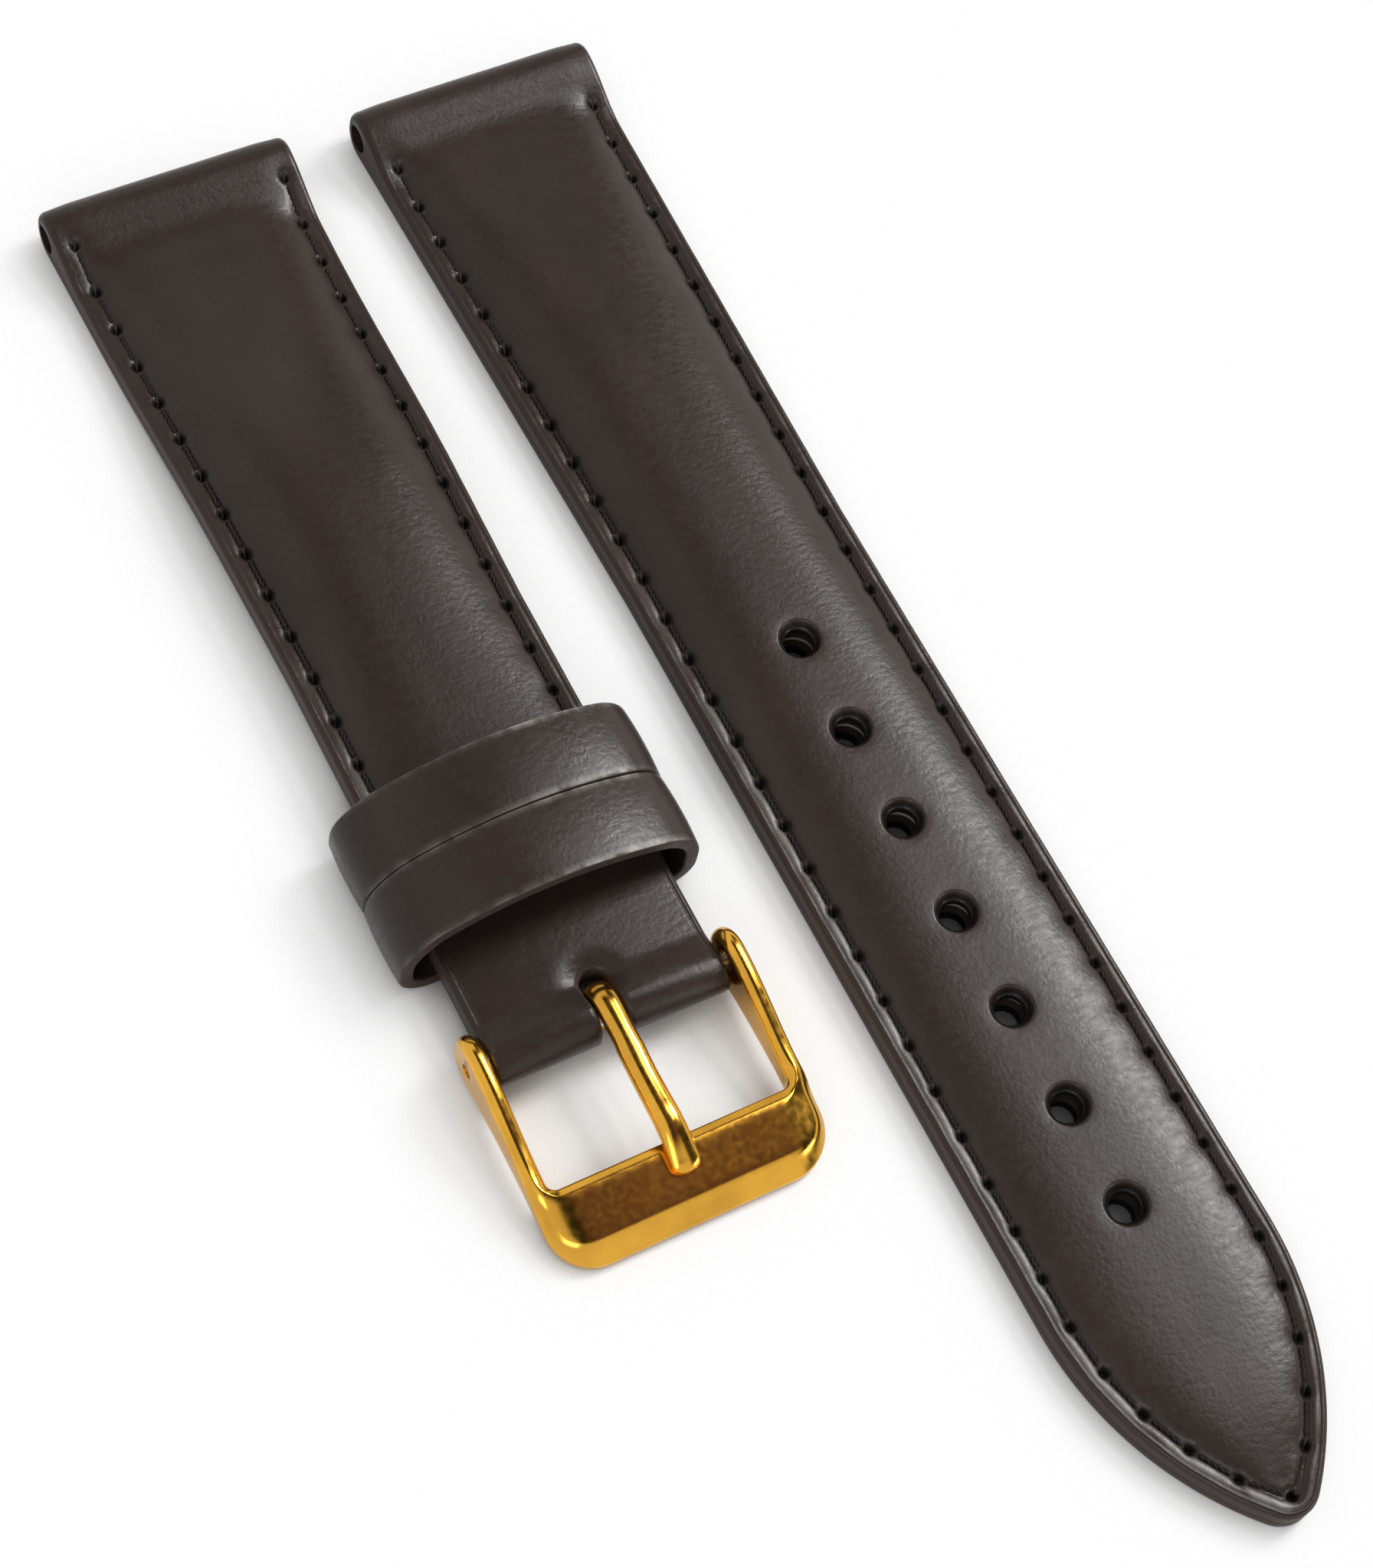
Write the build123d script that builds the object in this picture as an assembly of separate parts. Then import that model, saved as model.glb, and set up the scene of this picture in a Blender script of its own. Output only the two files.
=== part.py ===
from build123d import *
import math
import os

# A leather watch strap in two parts with a tongue buckle, in millimetres.
# X runs across the strap, +Y points to the watch and +Z is up.
# The origin is at the middle of the strap's footprint, on the surface it lies on.
# Each part is built with its lug end at Y zero and runs along -Y from there.

# Overall sizes of the strap
lug_width = 18.0
buckle_width = 16.0
long_length = 113.0
short_length = 70.0
part_spacing = 23.0

# Leather layers, from the wrist side up
lining_thickness = 0.9
stiffener_thickness = 0.25
upper_thickness = 1.1
glue_line = 0.05

# Lug end: leather folded round the tunnel for the watch's own bar
lug_roll_radius = 1.75
lug_tunnel_radius = 1.0
lug_roll_end = 6.0
lug_flap_length = 9.0

# Raised middle of the upper leather
crown_height = 4.0
crown_inset = 1.6
crown_root_depth = 0.1
padding_skive = 0.35
padding_start = 4.4
lug_crown_places = (3.0, 4.6, 7.0, 10.0, 14.0)
lug_crown_height_shares = (0.78, 0.765, 0.90, 0.985, 1.0)

# Long part: taper, pointed tip and punched holes
long_taper_end = 42.0
tip_length = 16.5
tip_radius = 2.2
long_padding_setback = 7.0
long_crown_shares = (
    (0.305, 1.0),
    (0.455, 0.93),
    (0.61, 0.83),
    (0.76, 0.75),
    (0.91, 0.70),
)
tip_crown_shares = (
    (0.31, 0.66),
    (0.69, 0.61),
    (0.98, 0.50),
)
hole_count = 7
hole_pitch = 7.0
last_hole_setback = 20.6
hole_radius = 1.0
hole_rim_radius = 1.45
hole_rim_depth = 0.5

# Short part: it lies on the keepers' undersides, so it climbs from its lug end
short_taper_end = 40.0
climb_start = 10.0
climb_end = 30.0
short_padding_setback = 13.0
short_crown_shares = (
    (0.42, 1.0),
    (0.585, 0.93),
    (0.725, 0.80),
    (0.84, 0.70),
    (0.93, 0.64),
    (1.0, 0.58),
)
tab_length = 10.0
tab_blend = 4.0
tab_width = 15.8
tab_thickness = 2.4
tab_flap_length = 14.0

# Fold of the tab round the spring bar, with the slot that the tongue works in
fold_radius = 1.7
fold_blend = 2.3
slot_width = 2.7
slot_length = 5.4

# Seams
stitch_inset = 1.15
stitch_pitch = 3.3
thread_radius = 0.19
thread_sides = 6
thread_bend = 0.24
needle_hole_radius = 0.47
leg_offset = 0.22
seam_groove_width = 0.5
seam_groove_depth = 0.2
long_seam_start = 5.5
short_seam_start = 3.8
short_seam_setback = 16.0

# Keepers: leather loops that hold the tail
keeper_half_width = 10.0
keeper_height = 8.3
keeper_shoulder = 6.9
keeper_wall = 1.25
keeper_length = 5.1
keeper_spacing = 0.15
keeper_clearance = 0.15
keeper_lower_radius = 2.0
keeper_upper_radius = 2.8
keeper_edge_round = 0.3
fixed_keeper_setback = 8.7
free_keeper_travel = 20.0
keeper_joint_gap = 0.1
keeper_seam_span = 2.6
keeper_seam_spacing = 2.4

# Spring bar
bar_radius = 0.75
bar_bore_radius = 0.5
bar_neck_radius = 0.43
bar_neck_length = 0.6
bar_length = 15.8
bar_running_gap = 0.05
tip_pin_radius = 0.38
tip_head_radius = 0.45
tip_head_length = 1.2
tip_travel = 1.1
tip_setback = 0.15
tip_stop_gap = 0.1
spring_outer_radius = 0.44
spring_inner_radius = 0.28
spring_end_gap = 0.1

# Buckle frame
frame_gap = 16.2
arm_thickness = 1.2
lobe_radius = 2.05
plate_rear = 8.9
plate_front = 13.8
plate_rear_height = 2.95
plate_front_height = 1.7
plate_corner_radius = 3.0
plate_bevel = 0.9
plate_belly = 0.9
window_corner_radius = 0.6

# Tongue
tongue_width = 1.9
tongue_curl_radius = 1.4
tongue_thickness = 1.2
tongue_reach = 10.9
tongue_arch_place = 4.7
tongue_arch_height = 4.8
tongue_rest_gap = 0.08
tongue_end_radius = 0.6

# Cuts run past what they cut by this much
overrun = 2.0

# Places worked out from the sizes above, measured from the lug end
tip_start = long_length - tip_length
long_padding_end = long_length - long_padding_setback
first_hole = long_length - last_hole_setback - (hole_count - 1) * hole_pitch
short_padding_end = short_length - short_padding_setback
short_seam_end = short_length - short_seam_setback
tab_start = short_length - tab_length
tab_flap_start = short_length - tab_flap_length
fixed_keeper_front = short_length - fixed_keeper_setback
free_keeper_front = fixed_keeper_front - keeper_length - keeper_spacing
fold_axis_place = short_length - fold_radius

# Heights and half widths worked out from the sizes above
edge_height = lining_thickness + glue_line + upper_thickness
lug_half = lug_width / 2
buckle_half = buckle_width / 2
climb = keeper_wall + keeper_clearance
bar_height = climb + tab_thickness / 2
frame_half = frame_gap / 2 + arm_thickness
lug_line = long_length / 2
short_x = (keeper_half_width - lug_half - part_spacing) / 2
long_x = short_x + part_spacing


def ease(share):
    """Runs smoothly from 0 to 1, level at both ends, as the blends below do."""
    share = min(max(share, 0), 1)
    return share * share * (3 - 2 * share)


def blend_curve(start, end):
    """A curve from start to end that is level at both, the shape that ease gives."""
    third = (end[0] - start[0]) / 3
    return Bezier(
        start, (start[0] + third, start[1]), (end[0] - third, end[1]), end
    )


def across(curves, reach):
    """A side outline, drawn as (Y, Z), made solid to both sides of the centre line."""
    return extrude(Plane.YZ * make_face(Curve() + curves), reach, both=True)


def upright(curves, low, high):
    """A plan outline, drawn as (X, Y), made solid from low to high."""
    return extrude(Pos(0, 0, low) * make_face(Curve() + curves), high - low)


def rod_along_x(radius, start, end, place, height):
    """A round rod or cutter along X at a place from the lug end."""
    middle = (start + end) / 2
    return Pos(middle, -place, height) * Rot(0, 90, 0) * Cylinder(radius, end - start)


def largest(shape):
    """The piece left when a cut also sheds a thin offcut."""
    return max(shape.solids(), key=lambda solid: solid.volume)


# Heights of the underside, and half widths in plan


def long_rise(place):
    return 0


def short_rise(place):
    return climb * ease((place - climb_start) / (climb_end - climb_start))


def tip_arc_radius():
    """Radius of the side arc that leaves the straight edge and meets the tip's arc."""
    reach = long_length - tip_radius - tip_start
    return (buckle_half**2 + reach**2 - tip_radius**2) / (2 * (buckle_half - tip_radius))


def tip_slope():
    """Sine and cosine of the side arc's turn up to the tip's arc."""
    span = tip_arc_radius() - tip_radius
    return (long_length - tip_radius - tip_start) / span, (tip_arc_radius() - buckle_half) / span


def tapered_half(place, taper_end):
    share = min(max(place / taper_end, 0), 1)
    return lug_half + (buckle_half - lug_half) * share


def long_half(place, inset):
    if place <= tip_start:
        return tapered_half(place, long_taper_end) - inset
    sine = tip_slope()[0]
    tip_middle = long_length - tip_radius
    if place <= tip_middle + (tip_radius - inset) * sine:
        arc = tip_arc_radius() - inset
        return buckle_half - tip_arc_radius() + math.sqrt(arc**2 - (place - tip_start) ** 2)
    return math.sqrt(max((tip_radius - inset) ** 2 - (place - tip_middle) ** 2, 0))


def short_half(place, inset):
    return tapered_half(place, short_taper_end) - inset


def long_plan_path(inset, start):
    """The long part's edge, moved in by inset: down the right side, round the tip, back."""
    side = buckle_half - inset
    sine, cosine = tip_slope()
    radius = tip_arc_radius()
    middle_x = buckle_half - radius
    meet = (
        (tip_radius - inset) * cosine,
        -(long_length - tip_radius) - (tip_radius - inset) * sine,
    )
    half_turn = math.asin(sine) / 2
    bulge = (
        middle_x + (radius - inset) * math.cos(half_turn),
        -tip_start - (radius - inset) * math.sin(half_turn),
    )
    right = [(long_half(start, inset), -start), (side, -long_taper_end), (side, -tip_start)]
    left = [(-x, y) for x, y in reversed(right)]
    return [
        Polyline(*right),
        ThreePointArc(right[-1], bulge, meet),
        ThreePointArc(meet, (0, inset - long_length), (-meet[0], meet[1])),
        ThreePointArc((-meet[0], meet[1]), (-bulge[0], bulge[1]), left[0]),
        Polyline(*left),
    ]


def long_plan():
    edges = long_plan_path(0, -overrun)
    return edges + [Line((-lug_half, overrun), (lug_half, overrun))]


def short_plan():
    """The short part's outline: taper, parallel stretch and the slightly narrower tab."""
    tab_half = tab_width / 2
    end = short_length + overrun
    right = [
        (lug_half, overrun),
        (lug_half, 0),
        (buckle_half, -short_taper_end),
        (buckle_half, -tab_start + tab_blend),
        (tab_half, -tab_start),
        (tab_half, -end),
    ]
    left = [(-x, y) for x, y in reversed(right)]
    return [Polyline(*right, *left, close=True)]


# Side outlines of the two parts without their crowns


def lug_nose():
    """Round lug end and the fall from the roll to the flat margin."""
    low = (-lug_roll_radius, 0)
    high = (-lug_roll_radius, 2 * lug_roll_radius)
    return [
        ThreePointArc(low, (0, lug_roll_radius), high),
        blend_curve(high, (-lug_roll_end, edge_height)),
    ]


def long_side():
    end = -long_length - overrun
    return lug_nose() + [
        Polyline(
            (-lug_roll_end, edge_height), (end, edge_height), (end, 0), (-lug_roll_radius, 0)
        )
    ]


def short_side():
    fold_flat = -(fold_axis_place - fold_blend)
    axis = -fold_axis_place
    tab_top = climb + tab_thickness
    margin_top = climb + edge_height
    low, high = bar_height - fold_radius, bar_height + fold_radius
    return lug_nose() + [
        Line((-lug_roll_end, edge_height), (-climb_start, edge_height)),
        blend_curve((-climb_start, edge_height), (-climb_end, margin_top)),
        Line((-climb_end, margin_top), (-tab_start + tab_blend, margin_top)),
        blend_curve((-tab_start + tab_blend, margin_top), (-tab_start, tab_top)),
        Line((-tab_start, tab_top), (fold_flat, tab_top)),
        blend_curve((fold_flat, tab_top), (axis, high)),
        ThreePointArc((axis, high), (-short_length, bar_height), (axis, low)),
        blend_curve((axis, low), (fold_flat, climb)),
        Line((fold_flat, climb), (-climb_end, climb)),
        blend_curve((-climb_end, climb), (-climb_start, 0)),
        Line((-climb_start, 0), (-lug_roll_radius, 0)),
    ]


def long_below(height, start):
    """Everything below a height over the long part's underside, from start on."""
    end = -long_length - overrun
    return across(
        [Polyline((-start, -overrun), (-start, height), (end, height), (end, -overrun), close=True)],
        lug_width,
    )


def short_below(height, start):
    """The same for the short part, whose underside climbs."""
    end = -short_length - overrun
    return across(
        [
            Polyline((end, -overrun), (-start, -overrun), (-start, height), (-climb_start, height)),
            blend_curve((-climb_start, height), (-climb_end, climb + height)),
            Polyline((-climb_end, climb + height), (end, climb + height), (end, -overrun)),
        ],
        lug_width,
    )


# Crowns


def lug_stations():
    """Places near the lug end, each with the crown's height over the underside there."""
    pairs = zip(lug_crown_places, lug_crown_height_shares)
    return [(place, share * crown_height) for place, share in pairs]


def stations_between(start, end, shares):
    """More such places, given as shares of the way from start to end."""
    reach = end - start
    return [(start + reach * place, height * crown_height) for place, height in shares]


def long_stations():
    body = stations_between(0, tip_start, long_crown_shares)
    tip = stations_between(tip_start, long_length - crown_inset, tip_crown_shares)
    return lug_stations() + body + tip


def short_stations():
    return lug_stations() + stations_between(0, tab_start, short_crown_shares)


def crown_at(place, stations):
    """The crown's height at a place between two stations, along straight lines."""
    for (near, near_height), (far, far_height) in zip(stations, stations[1:]):
        if near <= place <= far:
            share = (place - near) / (far - near)
            return near_height + (far_height - near_height) * share
    return stations[0][1] if place < stations[0][0] else stations[-1][1]


def arched_loft(sections):
    """A loft through flat-bottomed arches, each (place, half width, bottom, top)."""
    faces = []
    for place, half, bottom, top in sections:
        plane = Plane(origin=(0, -place, 0), x_dir=(1, 0, 0), z_dir=(0, -1, 0))
        arch = Line((-half, bottom), (half, bottom)) + ThreePointArc(
            (half, bottom), (0, top), (-half, bottom)
        )
        faces.append(plane * make_face(arch))
    return loft(faces, ruled=True)


def crown(stations, rise, half_at):
    root = edge_height - crown_root_depth
    return arched_loft(
        [
            (place, half_at(place, crown_inset), rise(place) + root, rise(place) + height)
            for place, height in stations
        ]
    )


def core(stations, rise, half_at, below, end, shrink):
    """The space under the crown, or with a shrink the body that fills it."""
    places = [padding_start + shrink]
    places += [place for place, _ in stations if padding_start + shrink < place < end - shrink]
    places += [end - shrink]
    bottom = lining_thickness - padding_skive
    inset = crown_inset + padding_skive + shrink
    space = arched_loft(
        [
            (
                place,
                half_at(place, inset),
                rise(place) + bottom,
                rise(place) + crown_at(place, stations) - upper_thickness - shrink,
            )
            for place in places
        ]
    )
    return largest(space - below(lining_thickness + glue_line, -overrun))


# Seams


def seam_points(curves, pitch):
    """Needle holes along a seam, evenly spaced and about a pitch apart."""
    path = Wire([edge for curve in curves for edge in curve.edges()])
    count = round(path.length / pitch)
    return [path.position_at(index / count) for index in range(count + 1)]


def staple(start, end, outside, inside):
    """One stitch: a run on the leather and a leg into the hole at each end of it."""
    run = (end - start).normalized()
    first = start + run * leg_offset
    last = end - run * leg_offset
    path = FilletPolyline(
        (first.X, first.Y, inside(-first.Y)),
        (first.X, first.Y, outside(-first.Y)),
        (last.X, last.Y, outside(-last.Y)),
        (last.X, last.Y, inside(-last.Y)),
        radius=thread_bend,
    )
    section = Plane(origin=path @ 0, z_dir=path % 0) * RegularPolygon(thread_radius, thread_sides)
    return sweep(section, path=path)


def seam(points, rise, upper):
    """A row of stitches: the needle thread on top, or the bobbin thread underneath."""
    middle = edge_height / 2
    half_gap = glue_line / 2
    if upper:
        level, meet = edge_height, middle + half_gap
    else:
        level, meet = thread_radius + glue_line, middle - half_gap
    pairs = zip(points, points[1:])
    return [
        staple(start, end, lambda s: rise(s) + level, lambda s: rise(s) + meet)
        for start, end in pairs
    ]


def needle_holes(points):
    """Round cutters through every layer at the needle holes."""
    discs = [Pos(point.X, point.Y, -overrun) * Circle(needle_hole_radius) for point in points]
    return extrude(Sketch() + discs, crown_height + 2 * overrun)


def seam_channel(points):
    """A narrow upright channel that runs straight from each needle hole to the next."""
    line = trace(Polyline(*points), seam_groove_width)
    return extrude(Pos(0, 0, -overrun) * line, crown_height + 2 * overrun)


def sink_seam(leather, lining, points, below):
    """Needle holes through both leathers, and a groove on each outside for the thread."""
    holes = needle_holes(points)
    channel = seam_channel(points)
    top = channel - below(edge_height - seam_groove_depth, -overrun)
    bottom = channel & below(2 * thread_radius + 2 * glue_line, -overrun)
    return leather - holes - top - bottom, lining - holes - bottom


# The two leather parts


def long_part():
    stations = long_stations()
    body = across(long_side(), lug_width) & upright(long_plan(), -overrun, crown_height + overrun)
    outside = body + crown(stations, long_rise, long_half)
    hollow = core(stations, long_rise, long_half, long_below, long_padding_end, 0)
    filling = core(stations, long_rise, long_half, long_below, long_padding_end, glue_line)
    seat = lining_thickness + glue_line
    tunnel = rod_along_x(
        lug_tunnel_radius, -lug_width, lug_width, lug_roll_radius, lug_roll_radius
    )
    upper = outside - long_below(seat, lug_flap_length) - hollow - tunnel
    lining = body & long_below(lining_thickness, lug_flap_length + glue_line)
    stiffener = filling & long_below(seat + stiffener_thickness, -overrun)
    padding = filling - long_below(seat + stiffener_thickness + glue_line, -overrun)
    points = seam_points(long_plan_path(stitch_inset, long_seam_start), stitch_pitch)
    upper, lining = sink_seam(upper, lining, points, long_below)
    punched, rims = punched_holes(stations)
    return {
        "long_upper_leather": largest(upper - punched - rims),
        "long_padding": largest(padding - punched),
        "long_stiffener": largest(stiffener - punched),
        "long_lining": largest(lining - punched),
        "long_needle_thread": seam(points, long_rise, True),
        "long_bobbin_thread": seam(points, long_rise, False),
    }


def punched_holes(stations):
    """The row of holes for the tongue, and the dished rims that the punch leaves."""
    holes, rims = [], []
    for index in range(hole_count):
        place = first_hole + index * hole_pitch
        top = crown_at(place, stations)
        holes.append(Pos(0, -place, top / 2) * Cylinder(hole_radius, top + 2 * overrun))
        wide = hole_rim_radius + (hole_rim_radius - hole_radius)
        rims.append(
            Pos(0, -place, top) * Cone(hole_radius, wide, 2 * hole_rim_depth)
        )
    return Part() + holes, Part() + rims


def short_part():
    stations = short_stations()
    plan = upright(short_plan(), -overrun, crown_height + climb + overrun)
    body = across(short_side(), lug_width) & plan
    outside = body + crown(stations, short_rise, short_half)
    hollow = core(stations, short_rise, short_half, short_below, short_padding_end, 0)
    filling = core(stations, short_rise, short_half, short_below, short_padding_end, glue_line)
    seat = lining_thickness + glue_line
    tunnel = rod_along_x(
        lug_tunnel_radius, -lug_width, lug_width, lug_roll_radius, lug_roll_radius
    )
    tab_flap = Pos(0, -tab_flap_start - short_length / 2, 0) * Box(
        2 * lug_width, short_length, 2 * short_length
    )
    under = short_below(seat, lug_flap_length) - tab_flap
    upper = outside - under - hollow - tunnel - bar_tunnel() - tongue_slot()
    lining_end = Pos(0, glue_line, 0) * tab_flap
    lining = body & (short_below(lining_thickness, lug_flap_length + glue_line) - lining_end)
    stiffener = filling & short_below(seat + stiffener_thickness, -overrun)
    padding = filling - short_below(seat + stiffener_thickness + glue_line, -overrun)
    threads = {}
    for side, name in ((-1, "left"), (1, "right")):
        ends = [
            (side * short_half(place, stitch_inset), -place)
            for place in (short_seam_start, short_taper_end, short_seam_end)
        ]
        points = seam_points([Polyline(*ends)], stitch_pitch)
        upper, lining = sink_seam(upper, lining, points, short_below)
        threads[f"short_needle_thread_{name}"] = seam(points, short_rise, True)
        threads[f"short_bobbin_thread_{name}"] = seam(points, short_rise, False)
    leathers = {
        "short_upper_leather": largest(upper),
        "short_padding": largest(padding),
        "short_stiffener": largest(stiffener),
        "short_lining": largest(lining),
    }
    return leathers | threads


def bar_tunnel():
    """The tunnel through the tab's fold for the buckle's spring bar."""
    radius = bar_radius + bar_running_gap
    return rod_along_x(radius, -lug_width, lug_width, fold_axis_place, bar_height)


def tongue_slot():
    """The slot in the fold, round at its inner end, where the tongue works."""
    half = slot_width / 2
    inner = short_length - slot_length
    end = short_length + overrun
    outline = [
        Polyline((half, -inner - half), (half, -end), (-half, -end), (-half, -inner - half)),
        ThreePointArc((-half, -inner - half), (0, -inner), (half, -inner - half)),
    ]
    return upright(outline, -overrun, crown_height + climb + overrun)


# Keepers


def keeper_outline(shrink, bottom):
    """The loop's outline seen along the strap, drawn as (X, Z) with an arched top."""
    half = keeper_half_width - shrink
    shoulder, top = keeper_shoulder - shrink, keeper_height - shrink
    edges = Polyline((half, shoulder), (half, bottom), (-half, bottom), (-half, shoulder))
    face = make_face(edges + ThreePointArc((-half, shoulder), (0, top), (half, shoulder)))
    face = fillet(face.vertices().group_by(Axis.Y)[-1], keeper_upper_radius - shrink / 2)
    lower_radius = max(keeper_lower_radius - shrink, keeper_edge_round)
    return fillet(face.vertices().group_by(Axis.Y)[0], lower_radius)


def keeper(front, inner_bottom, name):
    """A strip of leather bent into a loop, its ends sewn together under the strap."""
    plane = Plane(origin=(0, -front, 0), x_dir=(-1, 0, 0), z_dir=(0, 1, 0))
    outer = extrude(plane * keeper_outline(0, 0), keeper_length)
    rims = outer.edges().group_by(Axis.Y)
    outer = fillet(rims[0] + rims[-1], keeper_edge_round)
    inner = extrude(plane * keeper_outline(keeper_wall, inner_bottom), keeper_length)
    middle = -front + keeper_length / 2
    joint = Pos(0, middle, 0) * Box(keeper_joint_gap, 2 * keeper_length, 2 * keeper_wall)
    loop = outer - inner - joint
    threads = []
    for side in (-1, 1):
        row = middle + side * keeper_seam_spacing / 2
        start, end = Vector(-keeper_seam_span / 2, row), Vector(keeper_seam_span / 2, row)
        level = thread_radius + glue_line
        threads.append(staple(start, end, lambda s: level, lambda s: inner_bottom - glue_line))
        loop -= Pos(0, row, 0) * Box(
            keeper_seam_span, 2 * needle_hole_radius, 2 * (2 * thread_radius + 2 * glue_line)
        )
        for point in (start, end):
            loop -= Pos(point.X, row, 0) * Cylinder(needle_hole_radius, 2 * keeper_wall + overrun)
    return {f"{name}_keeper": largest(loop), f"{name}_keeper_thread": threads}


# Spring bar


def spring_bar():
    """Tube, two sprung tips and the spring between them."""
    half = bar_length / 2
    tube = rod_along_x(bar_radius, -half, half, fold_axis_place, bar_height)
    tube -= rod_along_x(bar_neck_radius, -bar_length, bar_length, fold_axis_place, bar_height)
    chamber = half - bar_neck_length
    tube -= rod_along_x(bar_bore_radius, -chamber, chamber, fold_axis_place, bar_height)
    head_end = chamber - tip_stop_gap
    head_start = head_end - tip_head_length
    pin_end = frame_half - tip_setback
    pieces = {"spring_bar_tube": tube}
    for side, name in ((-1, "left"), (1, "right")):
        head = sorted((side * head_start, side * head_end))
        pin = sorted((side * head_start, side * pin_end))
        tip = rod_along_x(tip_head_radius, *head, fold_axis_place, bar_height)
        tip += rod_along_x(tip_pin_radius, *pin, fold_axis_place, bar_height)
        pieces[f"spring_bar_tip_{name}"] = tip
    reach = head_start - spring_end_gap
    spring = rod_along_x(spring_outer_radius, -reach, reach, fold_axis_place, bar_height)
    spring -= rod_along_x(
        spring_inner_radius, -bar_length, bar_length, fold_axis_place, bar_height
    )
    pieces["spring_bar_spring"] = spring
    return pieces


# Buckle


def plate_top(place):
    """Height of the plate's sloping top, place measured from the bar's axis."""
    share = (place - plate_rear) / (plate_front - plate_rear)
    return plate_rear_height + (plate_front_height - plate_rear_height) * share


def buckle_frame():
    """Two arms with round lobes on the bar, and the sloping front plate."""
    axis = -fold_axis_place
    rear, front = axis - plate_rear, axis - plate_front
    arm_top = bar_height + lobe_radius
    side = [
        ThreePointArc(
            (axis, arm_top), (axis + lobe_radius, bar_height), (axis, bar_height - lobe_radius)
        ),
        ThreePointArc((axis, bar_height - lobe_radius), (rear, plate_belly), (front, 0)),
        Polyline((front, 0), (front, plate_front_height), (rear, plate_rear_height)),
        blend_curve((rear, plate_rear_height), (axis, arm_top)),
    ]
    plan = Rectangle(2 * frame_half, plate_front + 2 * lobe_radius, align=(Align.CENTER, Align.MIN))
    plan = fillet(plan.vertices().group_by(Axis.Y)[0], plate_corner_radius)
    depth = arm_top + overrun
    outer = across(side, lug_width) & extrude(Pos(0, front, 0) * plan, depth, both=True)
    window = Rectangle(frame_gap, plate_rear + 2 * lobe_radius, align=(Align.CENTER, Align.MIN))
    window = fillet(window.vertices().group_by(Axis.Y)[0], window_corner_radius)
    outer = bevel_plate(outer, front)
    frame = outer - extrude(Pos(0, rear, 0) * window, depth, both=True)
    pivot = tip_pin_radius + bar_running_gap
    frame -= rod_along_x(pivot, -lug_width, lug_width, fold_axis_place, bar_height)
    return {"buckle_frame": frame}


def bevel_plate(outer, front):
    """Bevels the plate's top along its front and round its two corners."""
    top = [
        edge
        for edge in outer.edges()
        if edge.bounding_box().max.Y < front + plate_corner_radius + glue_line
        and edge.bounding_box().min.Z > plate_front_height - glue_line
    ]
    return chamfer(top, plate_bevel)


def tongue():
    """A curl round the bar, an arched shank and an end that rests on the plate."""
    axis = -fold_axis_place
    tip = axis - tongue_reach
    land = axis - plate_rear
    rest = plate_top(tongue_reach) + tongue_rest_gap
    land_height = plate_rear_height + tongue_rest_gap
    land_top = land_height + tongue_thickness
    arch_y = axis - tongue_arch_place
    arch_low = tongue_arch_height - tongue_thickness
    curl_top = bar_height + tongue_curl_radius
    shank = [
        ThreePointArc((axis, curl_top), (arch_y, tongue_arch_height), (land, land_top)),
        Polyline((land, land_top), (tip, rest + tongue_thickness), (tip, rest), (land, land_height)),
        ThreePointArc((land, land_height), (arch_y, arch_low), (axis, bar_height)),
        Line((axis, bar_height), (axis, curl_top)),
    ]
    half = tongue_width / 2
    body = across(shank, half)
    body += rod_along_x(tongue_curl_radius, -half, half, fold_axis_place, bar_height)
    body = fillet(body.edges().filter_by(Axis.Z).group_by(Axis.Y)[0], tongue_end_radius)
    return {"buckle_tongue": body - bar_tunnel()}


def write(pieces, centre_x):
    for name, shape in pieces.items():
        if isinstance(shape, list):
            shape = Compound(children=[solid for item in shape for solid in item.solids()])
        placed = Pos(centre_x, lug_line, 0) * shape
        export_step(placed, f"parts/{name}.step")


os.makedirs("parts", exist_ok=True)
short_pieces = short_part() | spring_bar() | buckle_frame() | tongue()
short_pieces |= keeper(fixed_keeper_front, climb - glue_line, "fixed")
short_pieces |= keeper(free_keeper_front, keeper_wall, "free")
write(short_pieces, short_x)
write(long_part(), long_x)
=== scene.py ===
"""The finished surfaces of a leather watch strap in two parts with a tongue buckle.

Shapes are worked out in millimetres in each part's own terms: x runs across the strap from its
centre line, s is the place along it from the lug end, and z is up. Meshes are written in metres.
"""

import math

import bmesh
import bpy
import numpy as np
from mathutils import Matrix, Vector

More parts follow.
